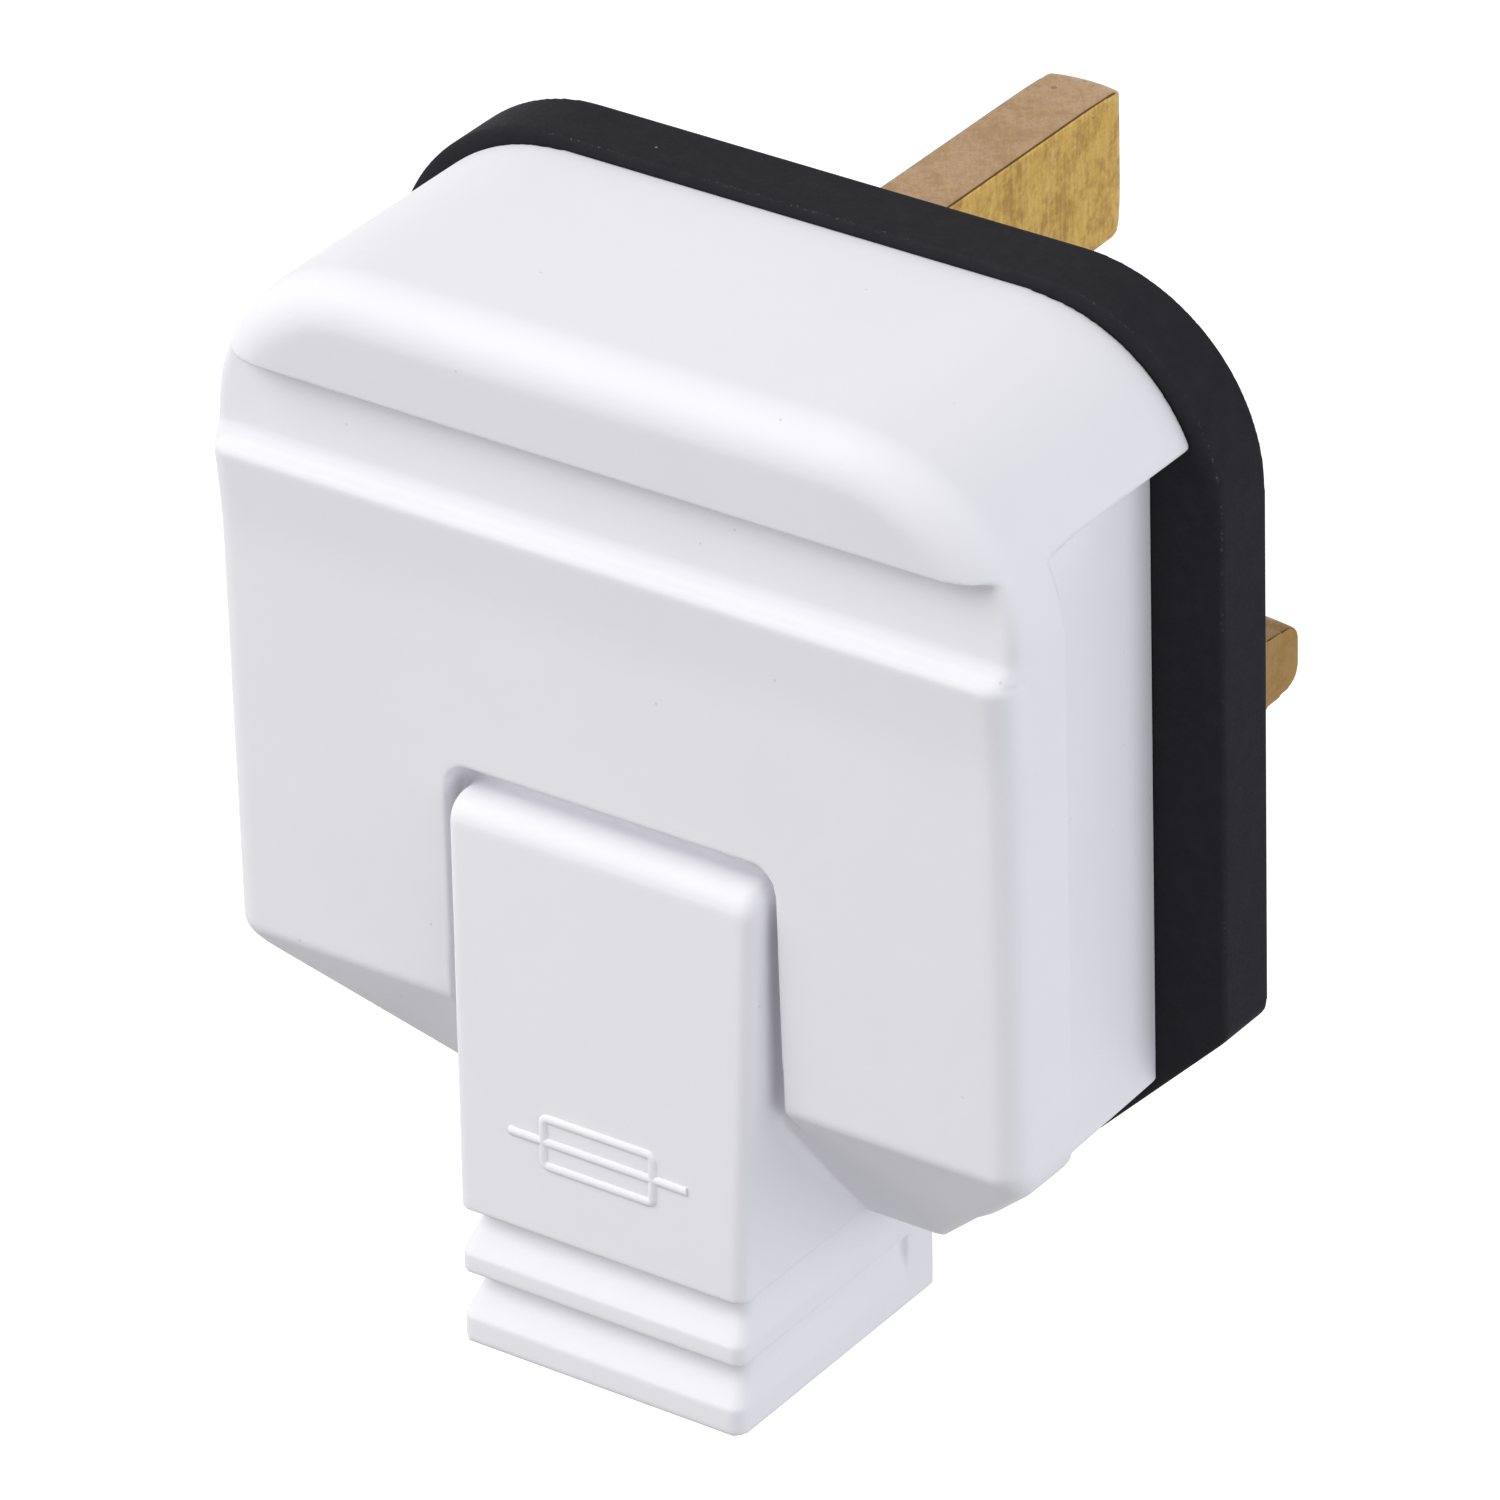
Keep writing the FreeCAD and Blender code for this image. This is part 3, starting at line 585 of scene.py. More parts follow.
@dataclass(frozen=True)
class Metal(Finish):
    """A bare or plated metal finish with tarnish, brushed lines and scratches, and painted shade that darkens
    it below a given height.
    """

    # colour of tarnish, and also the colour that the painted shade below a given height darkens towards
    tarnish: Colour
    sawn: Colour
    bright: Colour
    edge: Colour
    roughness: float
    blotch: float = 650.0
    lines: float = 7000.0
    fine: float = 7000.0
    depth: float = 0.015 * MM
    bump: float = 0.5
    level_span: Span = (0.7, 0.95)
    level_tarnish: float = 0.45
    tarnish_share: float = 0.65
    speckle_span: Span = (0.4, 0.7)
    speckle_share: float = 0.3
    line_span: Span = (0.4, 0.68)
    line_share: float = 0.26
    # painted shade: below this height, over the fade, the colour darkens towards the tarnish colour by the
    # share, standing in for the dark base and shadow reflected in the piece
    painted_shade_below: float = -FAR
    painted_shade_fade: float = 4.0 * MM
    painted_shade_share: float = 0.88
    scratch_share: float = 0.2
    pit_scale: float = 1300.0
    pit_spread: float = 0.05
    pit_share: float = 0.45
    edge_share: float = 0.85
    rough_swing: Span = (-0.08, 0.12)

    def aged(self, bench: NodeBench, level: Socket, patina: bpy.types.Node, grain: bpy.types.Node) -> Socket:
        """Colour of the tarnished faces with their brushed lines.

        Args:
            bench: Bench on the material's tree.
            level: 1 on faces that look up or down, otherwise 0.
            patina: The patina of the metal.
            grain: Its grain.

        Returns:
            The colour.
        """
        face = bench.blend(level, self.colour, self.sawn)
        specks = bench.ramp(grain.outputs["Height"], self.speckle_span, (0.0, self.speckle_share))
        clean = bench.ramp(level, RISE, (self.tarnish_share, self.level_tarnish * self.tarnish_share))
        share = bench.maths("MULTIPLY", patina.outputs["Tarnish"], clean)
        dulled = bench.blend(bench.maths("MAXIMUM", share, specks), face, self.tarnish)
        brushed = bench.ramp(patina.outputs["Brushed"], self.line_span, (0.0, self.line_share))
        return bench.blend(brushed, dulled, self.bright)

    def make(self, effects: EffectLibrary) -> bpy.types.Material:
        """Build the material.

        Args:
            effects: The shared shader groups.

        Returns:
            The material.
        """
        material, bench, shader = self.start()
        where = bench.add("ShaderNodeTexCoord").outputs
        place, normal = where["Object"], where["Normal"]
        patina = effects.place(bench, Group.PATINA, place, Blotch=self.blotch, Lines=self.lines)
        grain = effects.place(bench, Group.GRAIN, place, Fine=self.fine)
        pits = effects.place(bench, Group.SPECKS, place, Scale=self.pit_scale, Spread=self.pit_spread)
        edges = effects.place(bench, Group.EDGES, normal)
        level = bench.ramp(bench.maths("ABSOLUTE", bench.split(normal)[2]), self.level_span)
        # painted shade: the colour darkens towards the tarnish colour below the given height, for the dark
        # base and shadow that the piece reflects
        painted_shade_span = (self.painted_shade_below, self.painted_shade_below + self.painted_shade_fade)
        low = bench.ramp(bench.split(place)[2], painted_shade_span, (self.painted_shade_share, 0.0))
        with_painted_shade = bench.blend(low, self.aged(bench, level, patina, grain), self.tarnish)
        nicks = bench.maths("MULTIPLY", patina.outputs["Scratch"], self.scratch_share)
        holes = bench.maths("MULTIPLY", pits.outputs["Mask"], self.pit_share)
        marked = bench.blend(bench.maths("MAXIMUM", nicks, holes), with_painted_shade, self.edge)
        worn = bench.maths("MULTIPLY", edges.outputs["Mask"], self.edge_share)
        bench.wire(bench.blend(worn, marked, self.edge), shader.inputs["Base Color"])
        shader.inputs["Metallic"].default_value = 1.0
        limits = (self.roughness + self.rough_swing[0], self.roughness + self.rough_swing[1])
        bench.wire(bench.ramp(patina.outputs["Tarnish"], RISE, limits), shader.inputs["Roughness"])
        height = bench.maths("ADD", patina.outputs["Brushed"], grain.outputs["Height"])
        self.emboss(bench, shader, height, self.bump, self.depth)
        return material


FINISHES: tuple[Moulded | Metal, ...] = (
    Moulded(Slot.COVER, colour=(0.82, 0.812, 0.85), tone=(0.798, 0.79, 0.828), speck=(0.7, 0.69, 0.69),
            roughness=0.55, specular=0.3, depth=0.01 * MM, speck_spread=0.003, speck_scale=2600.0),
    Moulded(Slot.BASE, colour=(0.0225, 0.022, 0.0255), tone=(0.03, 0.0295, 0.033), speck=(0.2, 0.2, 0.215),
            roughness=0.64, specular=0.02, fine=5200.0, broad=900.0, depth=0.025 * MM, tone_share=0.4,
            speck_spread=0.0005, speck_scale=3000.0, rim=-3.85 * MM, rim_share=0.55),
    # painted shade: below 6 mm the pins darken towards their tarnish colour, standing in for the dark base
    # and shadow that they reflect
    Metal(Slot.PIN, colour=(0.445, 0.284, 0.056), tarnish=(0.225, 0.128, 0.034), sawn=(0.48, 0.312, 0.186),
          bright=(0.58, 0.42, 0.165), edge=(0.05, 0.03, 0.02), roughness=0.42, blotch=480.0,
          tarnish_share=0.72, painted_shade_below=6.0 * MM),
    Moulded(Slot.SLEEVE, colour=(0.012, 0.012, 0.013), tone=(0.018, 0.018, 0.02), speck=(0.08, 0.08, 0.085),
            roughness=0.5, specular=0.3),
    Metal(Slot.SCREW, colour=(0.56, 0.56, 0.55), tarnish=(0.36, 0.34, 0.31), sawn=(0.5, 0.5, 0.49),
          bright=(0.75, 0.75, 0.74), edge=(0.3, 0.29, 0.27), roughness=0.32),
    Metal(Slot.INNER, colour=(0.6, 0.41, 0.14), tarnish=(0.33, 0.2, 0.07), sawn=(0.55, 0.38, 0.15),
          bright=(0.8, 0.66, 0.36), edge=(0.25, 0.16, 0.06), roughness=0.34),
    Metal(Slot.CLIP, colour=(0.55, 0.36, 0.2), tarnish=(0.3, 0.17, 0.1), sawn=(0.5, 0.33, 0.19),
          bright=(0.72, 0.55, 0.38), edge=(0.22, 0.14, 0.08), roughness=0.35),
    Moulded(Slot.CERAMIC, colour=(0.74, 0.71, 0.65), tone=(0.66, 0.62, 0.55), speck=(0.45, 0.42, 0.38),
            roughness=0.3, specular=0.5, depth=0.02 * MM),
    Metal(Slot.PLATING, colour=(0.62, 0.62, 0.6), tarnish=(0.42, 0.4, 0.37), sawn=(0.58, 0.58, 0.56),
          bright=(0.8, 0.8, 0.78), edge=(0.35, 0.34, 0.32), roughness=0.28),
    Metal(Slot.LINK, colour=(0.68, 0.66, 0.62), tarnish=(0.4, 0.37, 0.33), sawn=(0.62, 0.6, 0.57),
          bright=(0.85, 0.83, 0.8), edge=(0.35, 0.33, 0.3), roughness=0.3),
    Moulded(Slot.GRIP, colour=(0.5, 0.48, 0.44), tone=(0.44, 0.42, 0.38), speck=(0.3, 0.29, 0.27),
            roughness=0.5, specular=0.4),
    Moulded(Slot.FIBRE, colour=(0.28, 0.06, 0.035), tone=(0.2, 0.045, 0.03), speck=(0.4, 0.16, 0.1),
            roughness=0.75, specular=0.2, fine=1800.0, depth=0.06 * MM),
)


class Workshop:
    """Holds the finishes and turns CAD nodes into finished pieces."""

    def __init__(self) -> None:
        """Build the shared effects and every material."""
        effects = EffectLibrary()
        self.materials = {finish.slot: finish.make(effects) for finish in FINISHES}

    @staticmethod
    def copy(node: str) -> bpy.types.Mesh:
        """Copy a CAD node's mesh and weld its loose triangles.

        Args:
            node: Name of the node.

        Returns:
            The welded mesh.
        """
        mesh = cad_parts[node].data.copy()
        work = bmesh.new()
        work.from_mesh(mesh)
        bmesh.ops.remove_doubles(work, verts=work.verts, dist=WELD)
        work.to_mesh(mesh)
        work.free()
        mesh.materials.clear()
        return mesh

    @staticmethod
    def bake(piece: bpy.types.Object) -> bpy.types.Mesh:
        """Turn an object's live modifiers into its plain mesh.

        Args:
            piece: Object with modifiers.

        Returns:
            The new mesh, already in the object.
        """
        bpy.context.view_layer.update()
        graph = bpy.context.evaluated_depsgraph_get()
        mesh = bpy.data.meshes.new_from_object(piece.evaluated_get(graph), depsgraph=graph)
        piece.modifiers.clear()
        piece.data = mesh
        return mesh

    def grow(self, piece: bpy.types.Object, tree: bpy.types.NodeTree,
             sizes: dict[str, object]) -> bpy.types.Mesh:
        """Run a geometry tree on an object and keep what it makes.

        Args:
            piece: The object.
            tree: The geometry tree.
            sizes: Values of the tree's inputs by name.

        Returns:
            The new mesh, already in the object.
        """
        run = piece.modifiers.new(tree.name, "NODES")
        run.node_group = tree
        for item in tree.interface.items_tree:
            if item.item_type == "SOCKET" and item.in_out == "INPUT" and item.name in sizes:
                run[item.identifier] = sizes[item.name]
        return self.bake(piece)

    @staticmethod
    def link(name: str, mesh: bpy.types.Mesh) -> bpy.types.Object:
        """Put a mesh into the scene as an object at the origin.

        Args:
            name: Name of the piece.
            mesh: Its mesh.

        Returns:
            The new object.
        """
        piece = bpy.data.objects.new(name, mesh)
        bpy.context.scene.collection.objects.link(piece)
        return piece

    def dress(self, piece: bpy.types.Object, slot: Slot, *nodes: str) -> None:
        """Give a piece its finish and let it stand for CAD nodes.

        Args:
            piece: The finished mesh object.
            slot: Slot whose finish it takes.
            *nodes: CAD nodes that it replaces.
        """
        piece.data.materials.clear()
        piece.data.materials.append(self.materials[slot])
        piece.data.polygons.foreach_set("material_index", [0] * len(piece.data.polygons))
        piece.data.shade_smooth()
        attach(piece, "root")
        if nodes:
            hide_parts(*nodes)
        LOG.info("%s: %d faces", piece.name, len(piece.data.polygons))


@dataclass
class SoftCopy:
    """A CAD node remade as one even skin with softly rounded edges."""

    node: str
    voxel: float = 0.12 * MM
    passes: int = 3
    limit: int = 30000
    strength: float = 0.5

    def skin(self, shop: Workshop) -> bpy.types.Object:
        """Lay an even skin over the node.

        Args:
            shop: The workshop.

        Returns:
            The object with the plain, dense skin.
        """
        piece = shop.link(f"{self.node}_piece", shop.copy(self.node))
        remesh = piece.modifiers.new("skin", "REMESH")
        remesh.mode = "VOXEL"
        remesh.voxel_size = self.voxel
        remesh.adaptivity = 0.0
        shop.bake(piece)
        return piece

    def smooth(self, piece: bpy.types.Object, name: str, passes: int) -> bpy.types.Modifier:
        """Add smoothing passes to a skin."""
        modifier = piece.modifiers.new(name, "SMOOTH")
        modifier.factor = self.strength
        modifier.iterations = passes
        return modifier

    def soften(self, shop: Workshop, piece: bpy.types.Object) -> bpy.types.Object:
        """Round the edges of the skin and thin it out.

        Args:
            shop: The workshop.
            piece: Object with the dense skin.

        Returns:
            The same object, thinned.
        """
        self.smooth(piece, "soften", self.passes)
        thin = piece.modifiers.new("thin", "DECIMATE")
        thin.ratio = min(1.0, self.limit / (QUAD_TRIANGLES * len(piece.data.polygons)))
        shop.bake(piece)
        return piece

    def build(self, shop: Workshop) -> bpy.types.Object:
        """Make the softened piece.

        Args:
            shop: The workshop.

        Returns:
            The piece, not yet dressed.
        """
        return self.soften(shop, self.skin(shop))


@dataclass
class OutletMark:
    """Raised fuse sign on the front of the cable outlet: a box with a line through it."""

    centre_z: float = -13.2 * MM
    wide: float = 6.4 * MM
    tall: float = 2.6 * MM
    lead: float = 2.0 * MM
    bead: float = 0.28 * MM
    bead_sides: int = 16
    corner_points: int = 4
    sunk: float = 0.12 * MM
    # depth and height of both ends of the face
    face_top: Span = (-21.4 * MM, 3.8 * MM)
    face_end: Span = (-22.8 * MM, -25.9 * MM)

    def tree(self, material: bpy.types.Material) -> bpy.types.NodeTree:
        """Build the tree that sweeps a bead along the lines of the sign.

        Args:
            material: Finish of the bead.

        Returns:
            The geometry tree.
        """
        bench = ShapeBench("raised_sign", dict.fromkeys(("Wide", "Tall", "Lead", "Bead"), Kind.VALUE))
        given = bench.given
        outline = bench.add("GeometryNodeCurvePrimitiveQuadrilateral", mode="RECTANGLE")
        bench.wire(given["Wide"], outline.inputs["Width"])
        bench.wire(given["Tall"], outline.inputs["Height"])
        rounded = bench.add("GeometryNodeFilletCurve", mode="POLY")
        bench.wire(outline.outputs["Curve"], rounded.inputs["Curve"])
        bench.wire(given["Bead"], rounded.inputs["Radius"])
        rounded.inputs["Count"].default_value = self.corner_points
        reach = bench.maths("ADD", bench.maths("MULTIPLY", given["Wide"], 0.5), given["Lead"])
        through = bench.add("GeometryNodeCurvePrimitiveLine")
        for name, sign in (("Start", -1.0), ("End", 1.0)):
            end = bench.add("ShaderNodeCombineXYZ")
            bench.wire(bench.maths("MULTIPLY", reach, sign), end.inputs[0])
            bench.wire(end.outputs[0], through.inputs[name])
        lines = bench.join(rounded.outputs["Curve"], through.outputs["Curve"])
        return bench.close(bench.sweep(lines, given["Bead"], self.bead_sides), material)

    def build(self, shop: Workshop) -> None:
        """Build the sign on the sloping face of the outlet and dress it.

        Args:
            shop: The workshop.
        """
        piece = shop.link("outlet_mark", bpy.data.meshes.new("outlet_mark"))
        sizes = {"Wide": self.wide, "Tall": self.tall, "Lead": self.lead, "Bead": self.bead}
        mesh = shop.grow(piece, self.tree(shop.materials[Slot.COVER]), sizes)
        lean = (self.face_end[0] - self.face_top[0]) / (self.face_top[1] - self.face_end[1])
        depth = self.face_top[0] + (self.face_top[1] - self.centre_z) * lean
        turn = Matrix.Rotation(math.pi / 2 + math.atan(lean), 4, "X")
        mesh.transform(Matrix.Translation((0.0, depth + self.sunk, self.centre_z)) @ turn)
        shop.dress(piece, Slot.COVER)


@dataclass
class CoverShell:
    """White cover with the brow, the groove, the panel and the cable outlet."""

    copy: SoftCopy = field(
        default_factory=lambda: SoftCopy("cover", voxel=0.14 * MM, passes=2, limit=190000))
    corner: float = 9.5 * MM
    half: float = 22.95 * MM
    top: float = 29.45 * MM
    brow_back: float = -17.6 * MM
    shoulder_from: float = 0.85
    shoulder_fade: float = 1.0 * MM
    shoulder_passes: int = 16
    mark: OutletMark = field(default_factory=OutletMark)

    def shoulder_weight(self, place: Vector) -> float:
        """How far a point belongs to the round shoulders, from 0 to 1."""
        across = abs(place.x) - (self.half - self.corner)
        rise = place.z - (self.top - self.corner)
        if across < 0 or rise < 0 or math.hypot(across, rise) < self.shoulder_from * self.corner:
            return 0.0
        return min(1.0, max(0.0, (place.y - self.brow_back) / self.shoulder_fade))

    def build(self, shop: Workshop) -> None:
        """Build and dress the cover and its raised mark.

        Args:
            shop: The workshop.
        """
        piece = self.copy.skin(shop)
        group = piece.vertex_groups.new(name="shoulders")
        for vertex in piece.data.vertices:
            weight = self.shoulder_weight(vertex.co)
            if weight > 0:
                group.add([vertex.index], weight, "REPLACE")
        self.copy.smooth(piece, "even", self.shoulder_passes).vertex_group = group.name
        self.copy.soften(shop, piece)
        shop.dress(piece, Slot.COVER, self.copy.node)
        self.mark.build(shop)


@dataclass
class BaseMoulding:
    """Black base that carries the pins and closes the cover."""

    copy: SoftCopy = field(
        default_factory=lambda: SoftCopy("base", voxel=0.15 * MM, passes=1, limit=170000))

    def build(self, shop: Workshop) -> None:
        """Build and dress the base."""
        shop.dress(self.copy.build(shop), Slot.BASE, self.copy.node)


@dataclass
class PinSet:
    """The three brass pins and the sleeves at the root of the live ones."""

    pins: tuple[str, ...] = ("earth_pin", "neutral_pin", "line_pin")
    sleeves: tuple[str, ...] = ("neutral_pin_sleeve", "line_pin_sleeve")
    pin_limit: int = 60000
    sleeve_limit: int = 20000
    tip_reach: float = 4.0 * MM
    dome: float = 0.5 * MM
    chin: float = 0.5 * MM

    def round_tip(self, piece: bpy.types.Object) -> None:
        """Draw the sides and the foot of a pin's end back to a shallow dome.

        Args:
            piece: The softened pin.
        """
        tip = max(vertex.co.y for vertex in piece.data.vertices)
        near = [vertex.co for vertex in piece.data.vertices if vertex.co.y > tip - self.tip_reach]
        low = [min(place[axis] for place in near) for axis in range(3)]
        high = [max(place[axis] for place in near) for axis in range(3)]
        for place in near:
            share = (1.0 - (tip - place.y) / self.tip_reach) ** 2
            aside = (2 * place.x - low[0] - high[0]) / (high[0] - low[0])
            under = max(0.0, (low[2] + high[2] - 2 * place.z) / (high[2] - low[2]))
            place.y -= share * (self.dome * aside ** 2 + self.chin * under ** 4)

    def build(self, shop: Workshop) -> None:
        """Build and dress the pins and sleeves.

        Args:
            shop: The workshop.
        """
        for node in self.pins:
            piece = SoftCopy(node, limit=self.pin_limit).build(shop)
            self.round_tip(piece)
            shop.dress(piece, Slot.PIN, node)
        for node in self.sleeves:
            shop.dress(SoftCopy(node, limit=self.sleeve_limit).build(shop), Slot.SLEEVE, node)


@dataclass
class InnerParts:
    """Terminal, fuse, clips and cord grip bar inside the cover."""

    voxel: float = 0.1 * MM
    passes: int = 2
    limit: int = 16000
    slots: dict[str, Slot] = field(default_factory=lambda: {
        "line_terminal": Slot.INNER,
        "line_fuse_clip": Slot.CLIP,
        "load_fuse_clip": Slot.CLIP,
        "fuse_tube": Slot.CERAMIC,
        "fuse_cap_lower": Slot.PLATING,
        "fuse_cap_upper": Slot.PLATING,
        "fuse_wire": Slot.LINK,
        "cord_grip_bar": Slot.GRIP,
        "screw_washer": Slot.FIBRE,
        "cover_insert": Slot.INNER,
    })

    def build(self, shop: Workshop) -> None:
        """Build and dress the inner parts.

        Args:
            shop: The workshop.
        """
        for node, slot in self.slots.items():
            shop.dress(SoftCopy(node, self.voxel, self.passes, self.limit).build(shop), slot, node)


class HeadSide(Enum):
    """Which end of a screw carries its head."""

    FRONT = -1
    REAR = 1


@dataclass
class Screw:
    """A slotted screw along Y with a thread on its shank."""

    node: str
    radius: float
    head_tall: float
    head: HeadSide = HeadSide.FRONT
    pitch: float = 0.7 * MM
    depth: float = 0.25 * MM
    plain: float = 0.3 * MM
    voxel: float = 0.1 * MM
    passes: int = 2
    limit: int = 12000
    shank_slack: float = 1.04
    head_slack: float = 0.05 * MM

    def core(self, shop: Workshop) -> bpy.types.Object:
        """Make the head and a shank drawn in to the root of the thread.

        Args:
            shop: The workshop.

        Returns:
            The object without its thread.
        """
        piece = SoftCopy(self.node, self.voxel, self.passes, self.limit).build(shop)
        low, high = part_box(self.node)
        axis = (low + high) / 2
        shank = 1.0 - self.depth / self.radius
        reach = self.radius * self.shank_slack
        for vertex in piece.data.vertices:
            place = vertex.co
            out = math.hypot(place.x - axis.x, place.z - axis.z)
            start = high.y - place.y if self.head is HeadSide.REAR else place.y - low.y
            if out < reach and start > self.head_tall - self.head_slack:
                place.x = axis.x + (place.x - axis.x) * shank
                place.z = axis.z + (place.z - axis.z) * shank
        return piece

    def build(self, shop: Workshop, tree: bpy.types.NodeTree) -> None:
        """Build the threaded screw and dress it.

        Args:
            shop: The workshop.
            tree: The geometry tree that winds a thread.
        """
        piece = self.core(shop)
        low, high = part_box(self.node)
        length = high.y - low.y - self.head_tall - 2 * self.plain - self.depth
        begin = low.y + self.plain + self.depth / 2
        if self.head is HeadSide.FRONT:
            begin += self.head_tall
        sizes = {"Root": self.radius - self.depth, "Length": length, "Turns": length / self.pitch,
                 "Ridge": self.depth, "Start": ((low.x + high.x) / 2, begin, (low.z + high.z) / 2)}
        shop.grow(piece, tree, sizes)
        shop.dress(piece, Slot.SCREW, self.node)


@dataclass
class ScrewSet:
    """Every screw of the plug."""

    turn_points: int = 24
    ridge_sides: int = 8
    screws: tuple[Screw, ...] = (
        Screw("earth_clamp_screw", radius=1.4 * MM, head_tall=1.6 * MM),
        Screw("neutral_clamp_screw", radius=1.4 * MM, head_tall=1.6 * MM),
        Screw("line_clamp_screw", radius=1.0 * MM, head_tall=1.6 * MM, pitch=0.5 * MM, depth=0.18 * MM),
        Screw("cord_grip_screw_left", radius=1.2 * MM, head_tall=1.7 * MM),
        Screw("cord_grip_screw_right", radius=1.2 * MM, head_tall=1.7 * MM),
        Screw("cover_screw", radius=1.75 * MM, head_tall=2.2 * MM, head=HeadSide.REAR),
    )

    def tree(self, material: bpy.types.Material) -> bpy.types.NodeTree:
        """Build the tree that winds a ridge round a shank.

        Args:
            material: Finish of the screws.

        Returns:
            The geometry tree.
        """
        values = dict.fromkeys(("Root", "Length", "Turns", "Ridge"), Kind.VALUE)
        bench = ShapeBench("screw_thread", {"Geometry": Kind.SHAPE, **values, "Start": Kind.VECTOR})
        given = bench.given
        helix = bench.add("GeometryNodeCurveSpiral")
        helix.inputs["Resolution"].default_value = self.turn_points
        bench.wire(given["Turns"], helix.inputs["Rotations"])
        bench.wire(given["Root"], helix.inputs["Start Radius"])
        bench.wire(given["Root"], helix.inputs["End Radius"])
        bench.wire(given["Length"], helix.inputs["Height"])
        lay = bench.add("GeometryNodeTransform")
        bench.wire(helix.outputs["Curve"], lay.inputs["Geometry"])
        lay.inputs["Rotation"].default_value = (-math.pi / 2, 0.0, 0.0)
        bench.wire(given["Start"], lay.inputs["Translation"])
        ridge = bench.sweep(lay.outputs["Geometry"], given["Ridge"], self.ridge_sides)
        return bench.close(bench.join(given["Geometry"], ridge), material)

    def build(self, shop: Workshop) -> None:
        """Build and dress the screws."""
        tree = self.tree(shop.materials[Slot.SCREW])
        for screw in self.screws:
            screw.build(shop, tree)


@dataclass(frozen=True)
class Lamp:
    """A soft square lamp that faces the plug."""

    name: str
    place: tuple[float, float, float]
    size: float
    power: float
    colour: Colour = WHITE

    def hang(self, target: Vector) -> None:
        """Put the lamp into the scene.

        Args:
            target: Point that it faces.
        """
        lamp = bpy.data.lights.new(self.name, "AREA")
        lamp.shape = "SQUARE"
        lamp.size = self.size
        lamp.energy = self.power
        lamp.color = self.colour
        holder = bpy.data.objects.new(self.name, lamp)
        bpy.context.scene.collection.objects.link(holder)
        turn = (target - Vector(self.place)).to_track_quat("-Z", "Y")
        holder.matrix_world = Matrix.Translation(self.place) @ turn.to_matrix().to_4x4()


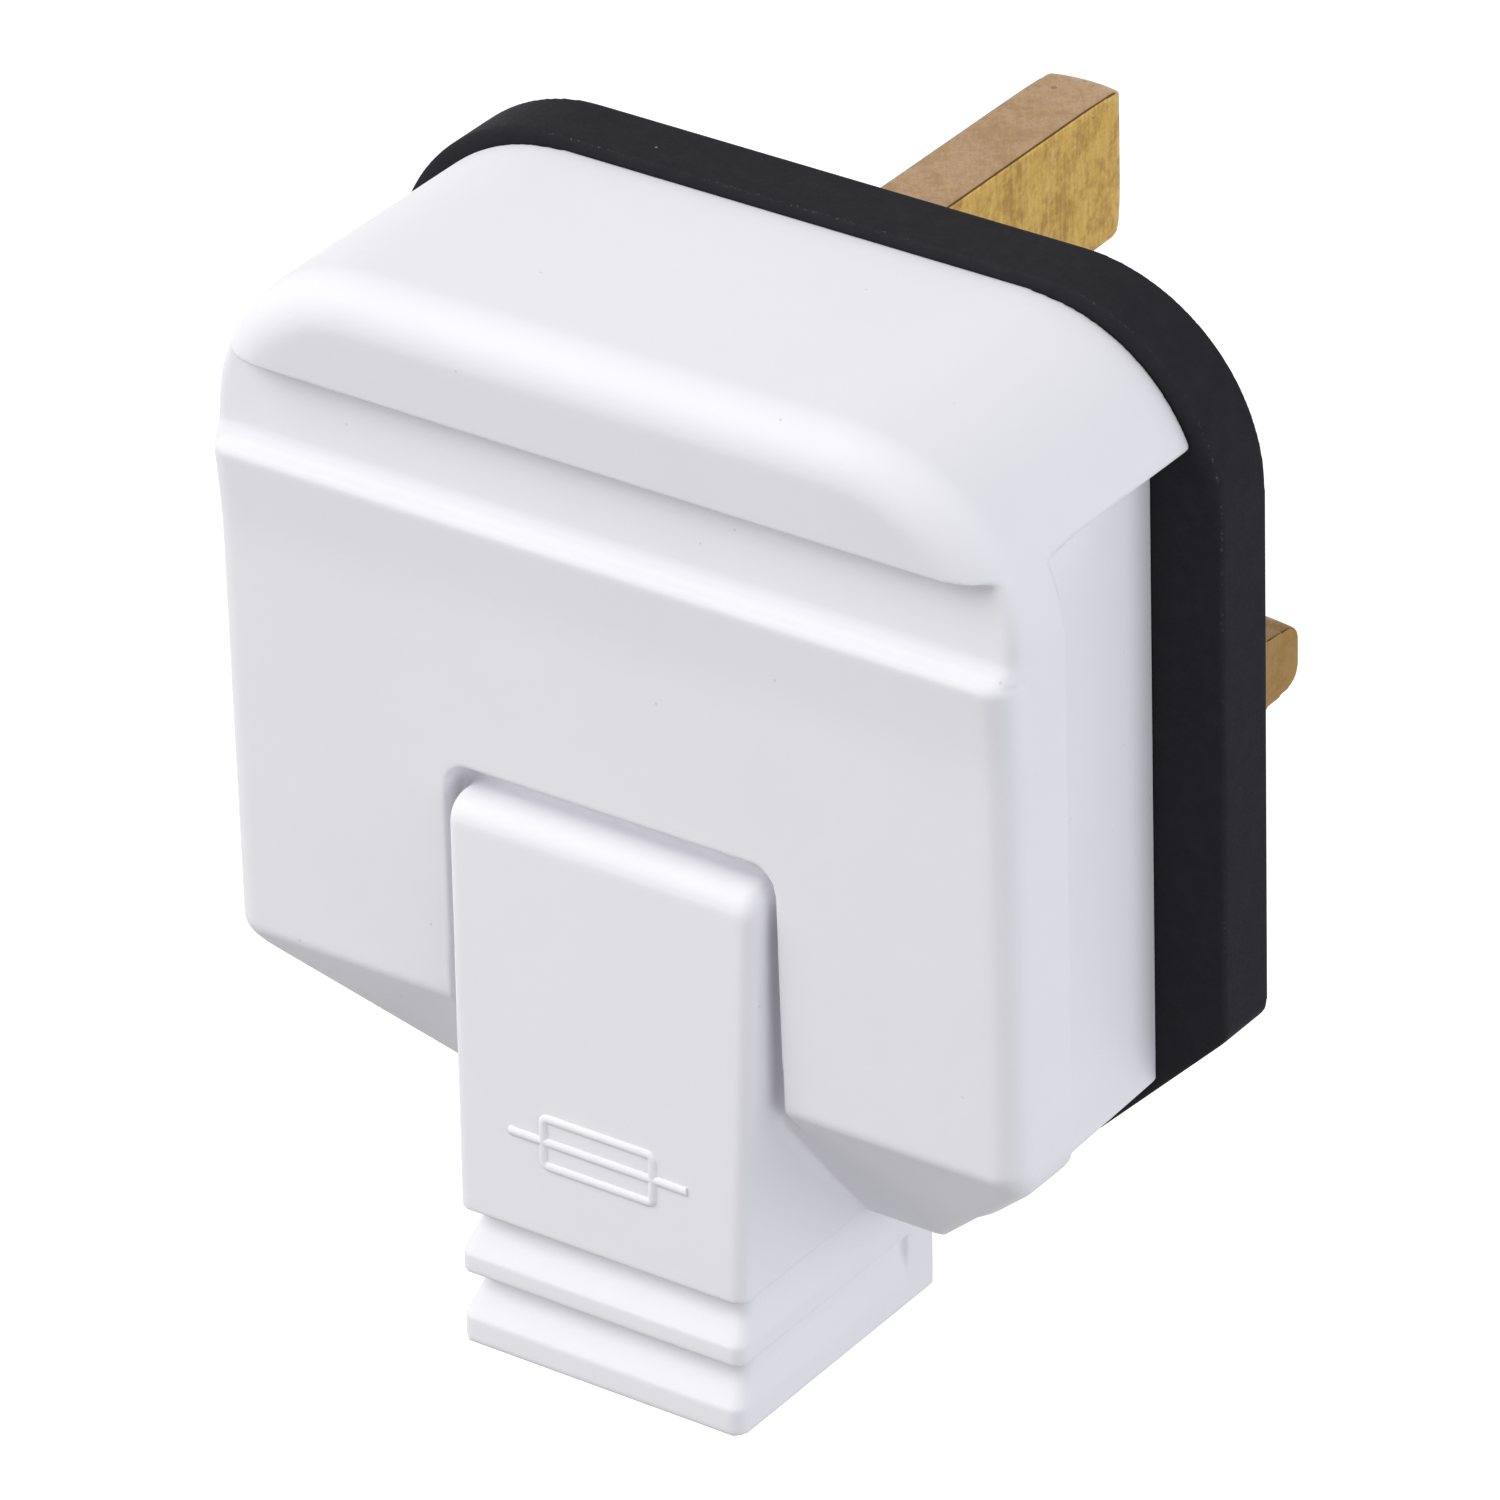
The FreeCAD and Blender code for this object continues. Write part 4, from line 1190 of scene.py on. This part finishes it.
@dataclass
class Studio:
    """Camera, lights, floor and surroundings."""

    azimuth: float = 35.84
    elevation: float = 29.933
    roll: float = -1.762
    distance: float = 551.489 * MM
    target: tuple[float, float, float] = (0.0, -10.0 * MM, 5.0 * MM)
    lens: float = 277.24
    sensor: float = 36.0
    shift: Span = (0.010758, -0.018031)
    nearest: float = 10.0 * MM
    floor_z: float = -0.2
    floor_half: float = 3.0
    floor_tone: float = 0.3
    floor_glow: float = 0.9
    sky_span: Span = (-0.3, 0.8)
    sky_high: float = 0.61
    sky_low: float = 0.0
    backdrop: float = 1.0
    lamps: tuple[Lamp, ...] = (
        Lamp("key", (-0.55, -0.6, 0.8), size=0.7, power=6.2),
        Lamp("left", (-0.8, -0.6, 0.4), size=0.9, power=4.2),
        Lamp("front", (0.2, -1.0, 0.1), size=0.8, power=0.4),
        Lamp("side", (0.95, -0.3, 0.0), size=0.7, power=4.3, colour=(0.97, 0.98, 1.04)),
        Lamp("rear", (0.9, 0.45, 0.1), size=0.7, power=2.7, colour=(0.94, 0.98, 1.07)),
    )

    def camera(self) -> None:
        """Set the camera to the angle and framing of the photograph."""
        turn, rise, roll = (math.radians(angle) for angle in (self.azimuth, self.elevation, self.roll))
        right = Vector((math.cos(turn), math.sin(turn), 0.0))
        back = Vector((math.sin(turn) * math.cos(rise), -math.cos(turn) * math.cos(rise), math.sin(rise)))
        up = back.cross(right)
        across = right * math.cos(roll) + up * math.sin(roll)
        along = up * math.cos(roll) - right * math.sin(roll)
        place = Vector(self.target) + back * self.distance
        lens = bpy.data.cameras.new("camera")
        lens.sensor_width = self.sensor
        lens.lens = self.lens
        lens.shift_x, lens.shift_y = self.shift
        lens.clip_start = self.nearest
        eye = bpy.data.objects.new("camera", lens)
        bpy.context.scene.collection.objects.link(eye)
        rows = [[across[i], along[i], back[i], place[i]] for i in range(3)]
        eye.matrix_world = Matrix(rows + [[0.0, 0.0, 0.0, 1.0]])
        bpy.context.scene.camera = eye

    @staticmethod
    def seen(bench: NodeBench) -> Socket:
        """1 where the camera, a reflection or clear material looks, otherwise 0."""
        path = bench.add("ShaderNodeLightPath").outputs
        looks = (path["Is Camera Ray"], path["Is Glossy Ray"], path["Is Transmission Ray"])
        return bench.fold("MAXIMUM", *looks)

    def surroundings(self) -> None:
        """Light that comes from above and fades out below, and white where it is seen."""
        world = bpy.data.worlds.new("studio")
        bpy.context.scene.world = world
        world.use_nodes = True
        bench = NodeBench(world.node_tree)
        light = world.node_tree.nodes["Background"]
        way = bench.split(bench.add("ShaderNodeTexCoord").outputs["Object"])
        level = bench.ramp(way[2], self.sky_span, (self.sky_low, self.sky_high))
        shown = bench.blend(self.seen(bench), level, self.backdrop, Mix.VALUES)
        bench.wire(shown, light.inputs["Strength"])
        light.inputs["Color"].default_value = (*WHITE, 1.0)

    def floor(self) -> None:
        """Plain pale floor well below the plug, clear when it is looked at from below."""
        mesh = bpy.data.meshes.new("floor")
        half = self.floor_half
        corners = [(-half, -half), (half, -half), (half, half), (-half, half)]
        mesh.from_pydata([(x, y, self.floor_z) for x, y in corners], [], [(0, 1, 2, 3)])
        floor = bpy.data.objects.new("floor", mesh)
        bpy.context.scene.collection.objects.link(floor)
        paint = bpy.data.materials.new("floor_paint")
        paint.use_nodes = True
        bench = NodeBench(paint.node_tree)
        paint.node_tree.nodes.clear()
        matt = bench.add("ShaderNodeBsdfDiffuse")
        matt.inputs["Color"].default_value = (self.floor_tone,) * 3 + (1.0,)
        glow = bench.add("ShaderNodeEmission")
        bench.wire(bench.maths("MULTIPLY", self.seen(bench), self.floor_glow), glow.inputs["Strength"])
        both = bench.add("ShaderNodeAddShader")
        bench.wire(matt.outputs[0], both.inputs[0])
        bench.wire(glow.outputs[0], both.inputs[1])
        pick = bench.add("ShaderNodeMixShader")
        bench.wire(bench.add("ShaderNodeNewGeometry").outputs["Backfacing"], pick.inputs[0])
        bench.wire(both.outputs[0], pick.inputs[1])
        bench.wire(bench.add("ShaderNodeBsdfTransparent").outputs[0], pick.inputs[2])
        done = bench.add("ShaderNodeOutputMaterial")
        bench.wire(pick.outputs[0], done.inputs["Surface"])
        mesh.materials.append(paint)

    def light(self) -> None:
        """Hang the soft lamps."""
        for lamp in self.lamps:
            lamp.hang(Vector(self.target))

    def build(self) -> None:
        """Set up the whole studio."""
        bpy.context.scene.view_settings.view_transform = "Standard"
        self.camera()
        self.surroundings()
        self.floor()
        self.light()


def main() -> None:
    """Build every sub-assembly in order; each piece logs its face count."""
    logging.basicConfig(level=logging.INFO, format="%(name)s: %(message)s")
    Studio().build()
    shop = Workshop()
    CoverShell().build(shop)
    BaseMoulding().build(shop)
    PinSet().build(shop)
    InnerParts().build(shop)
    ScrewSet().build(shop)


if __name__ == "__main__":
    main()
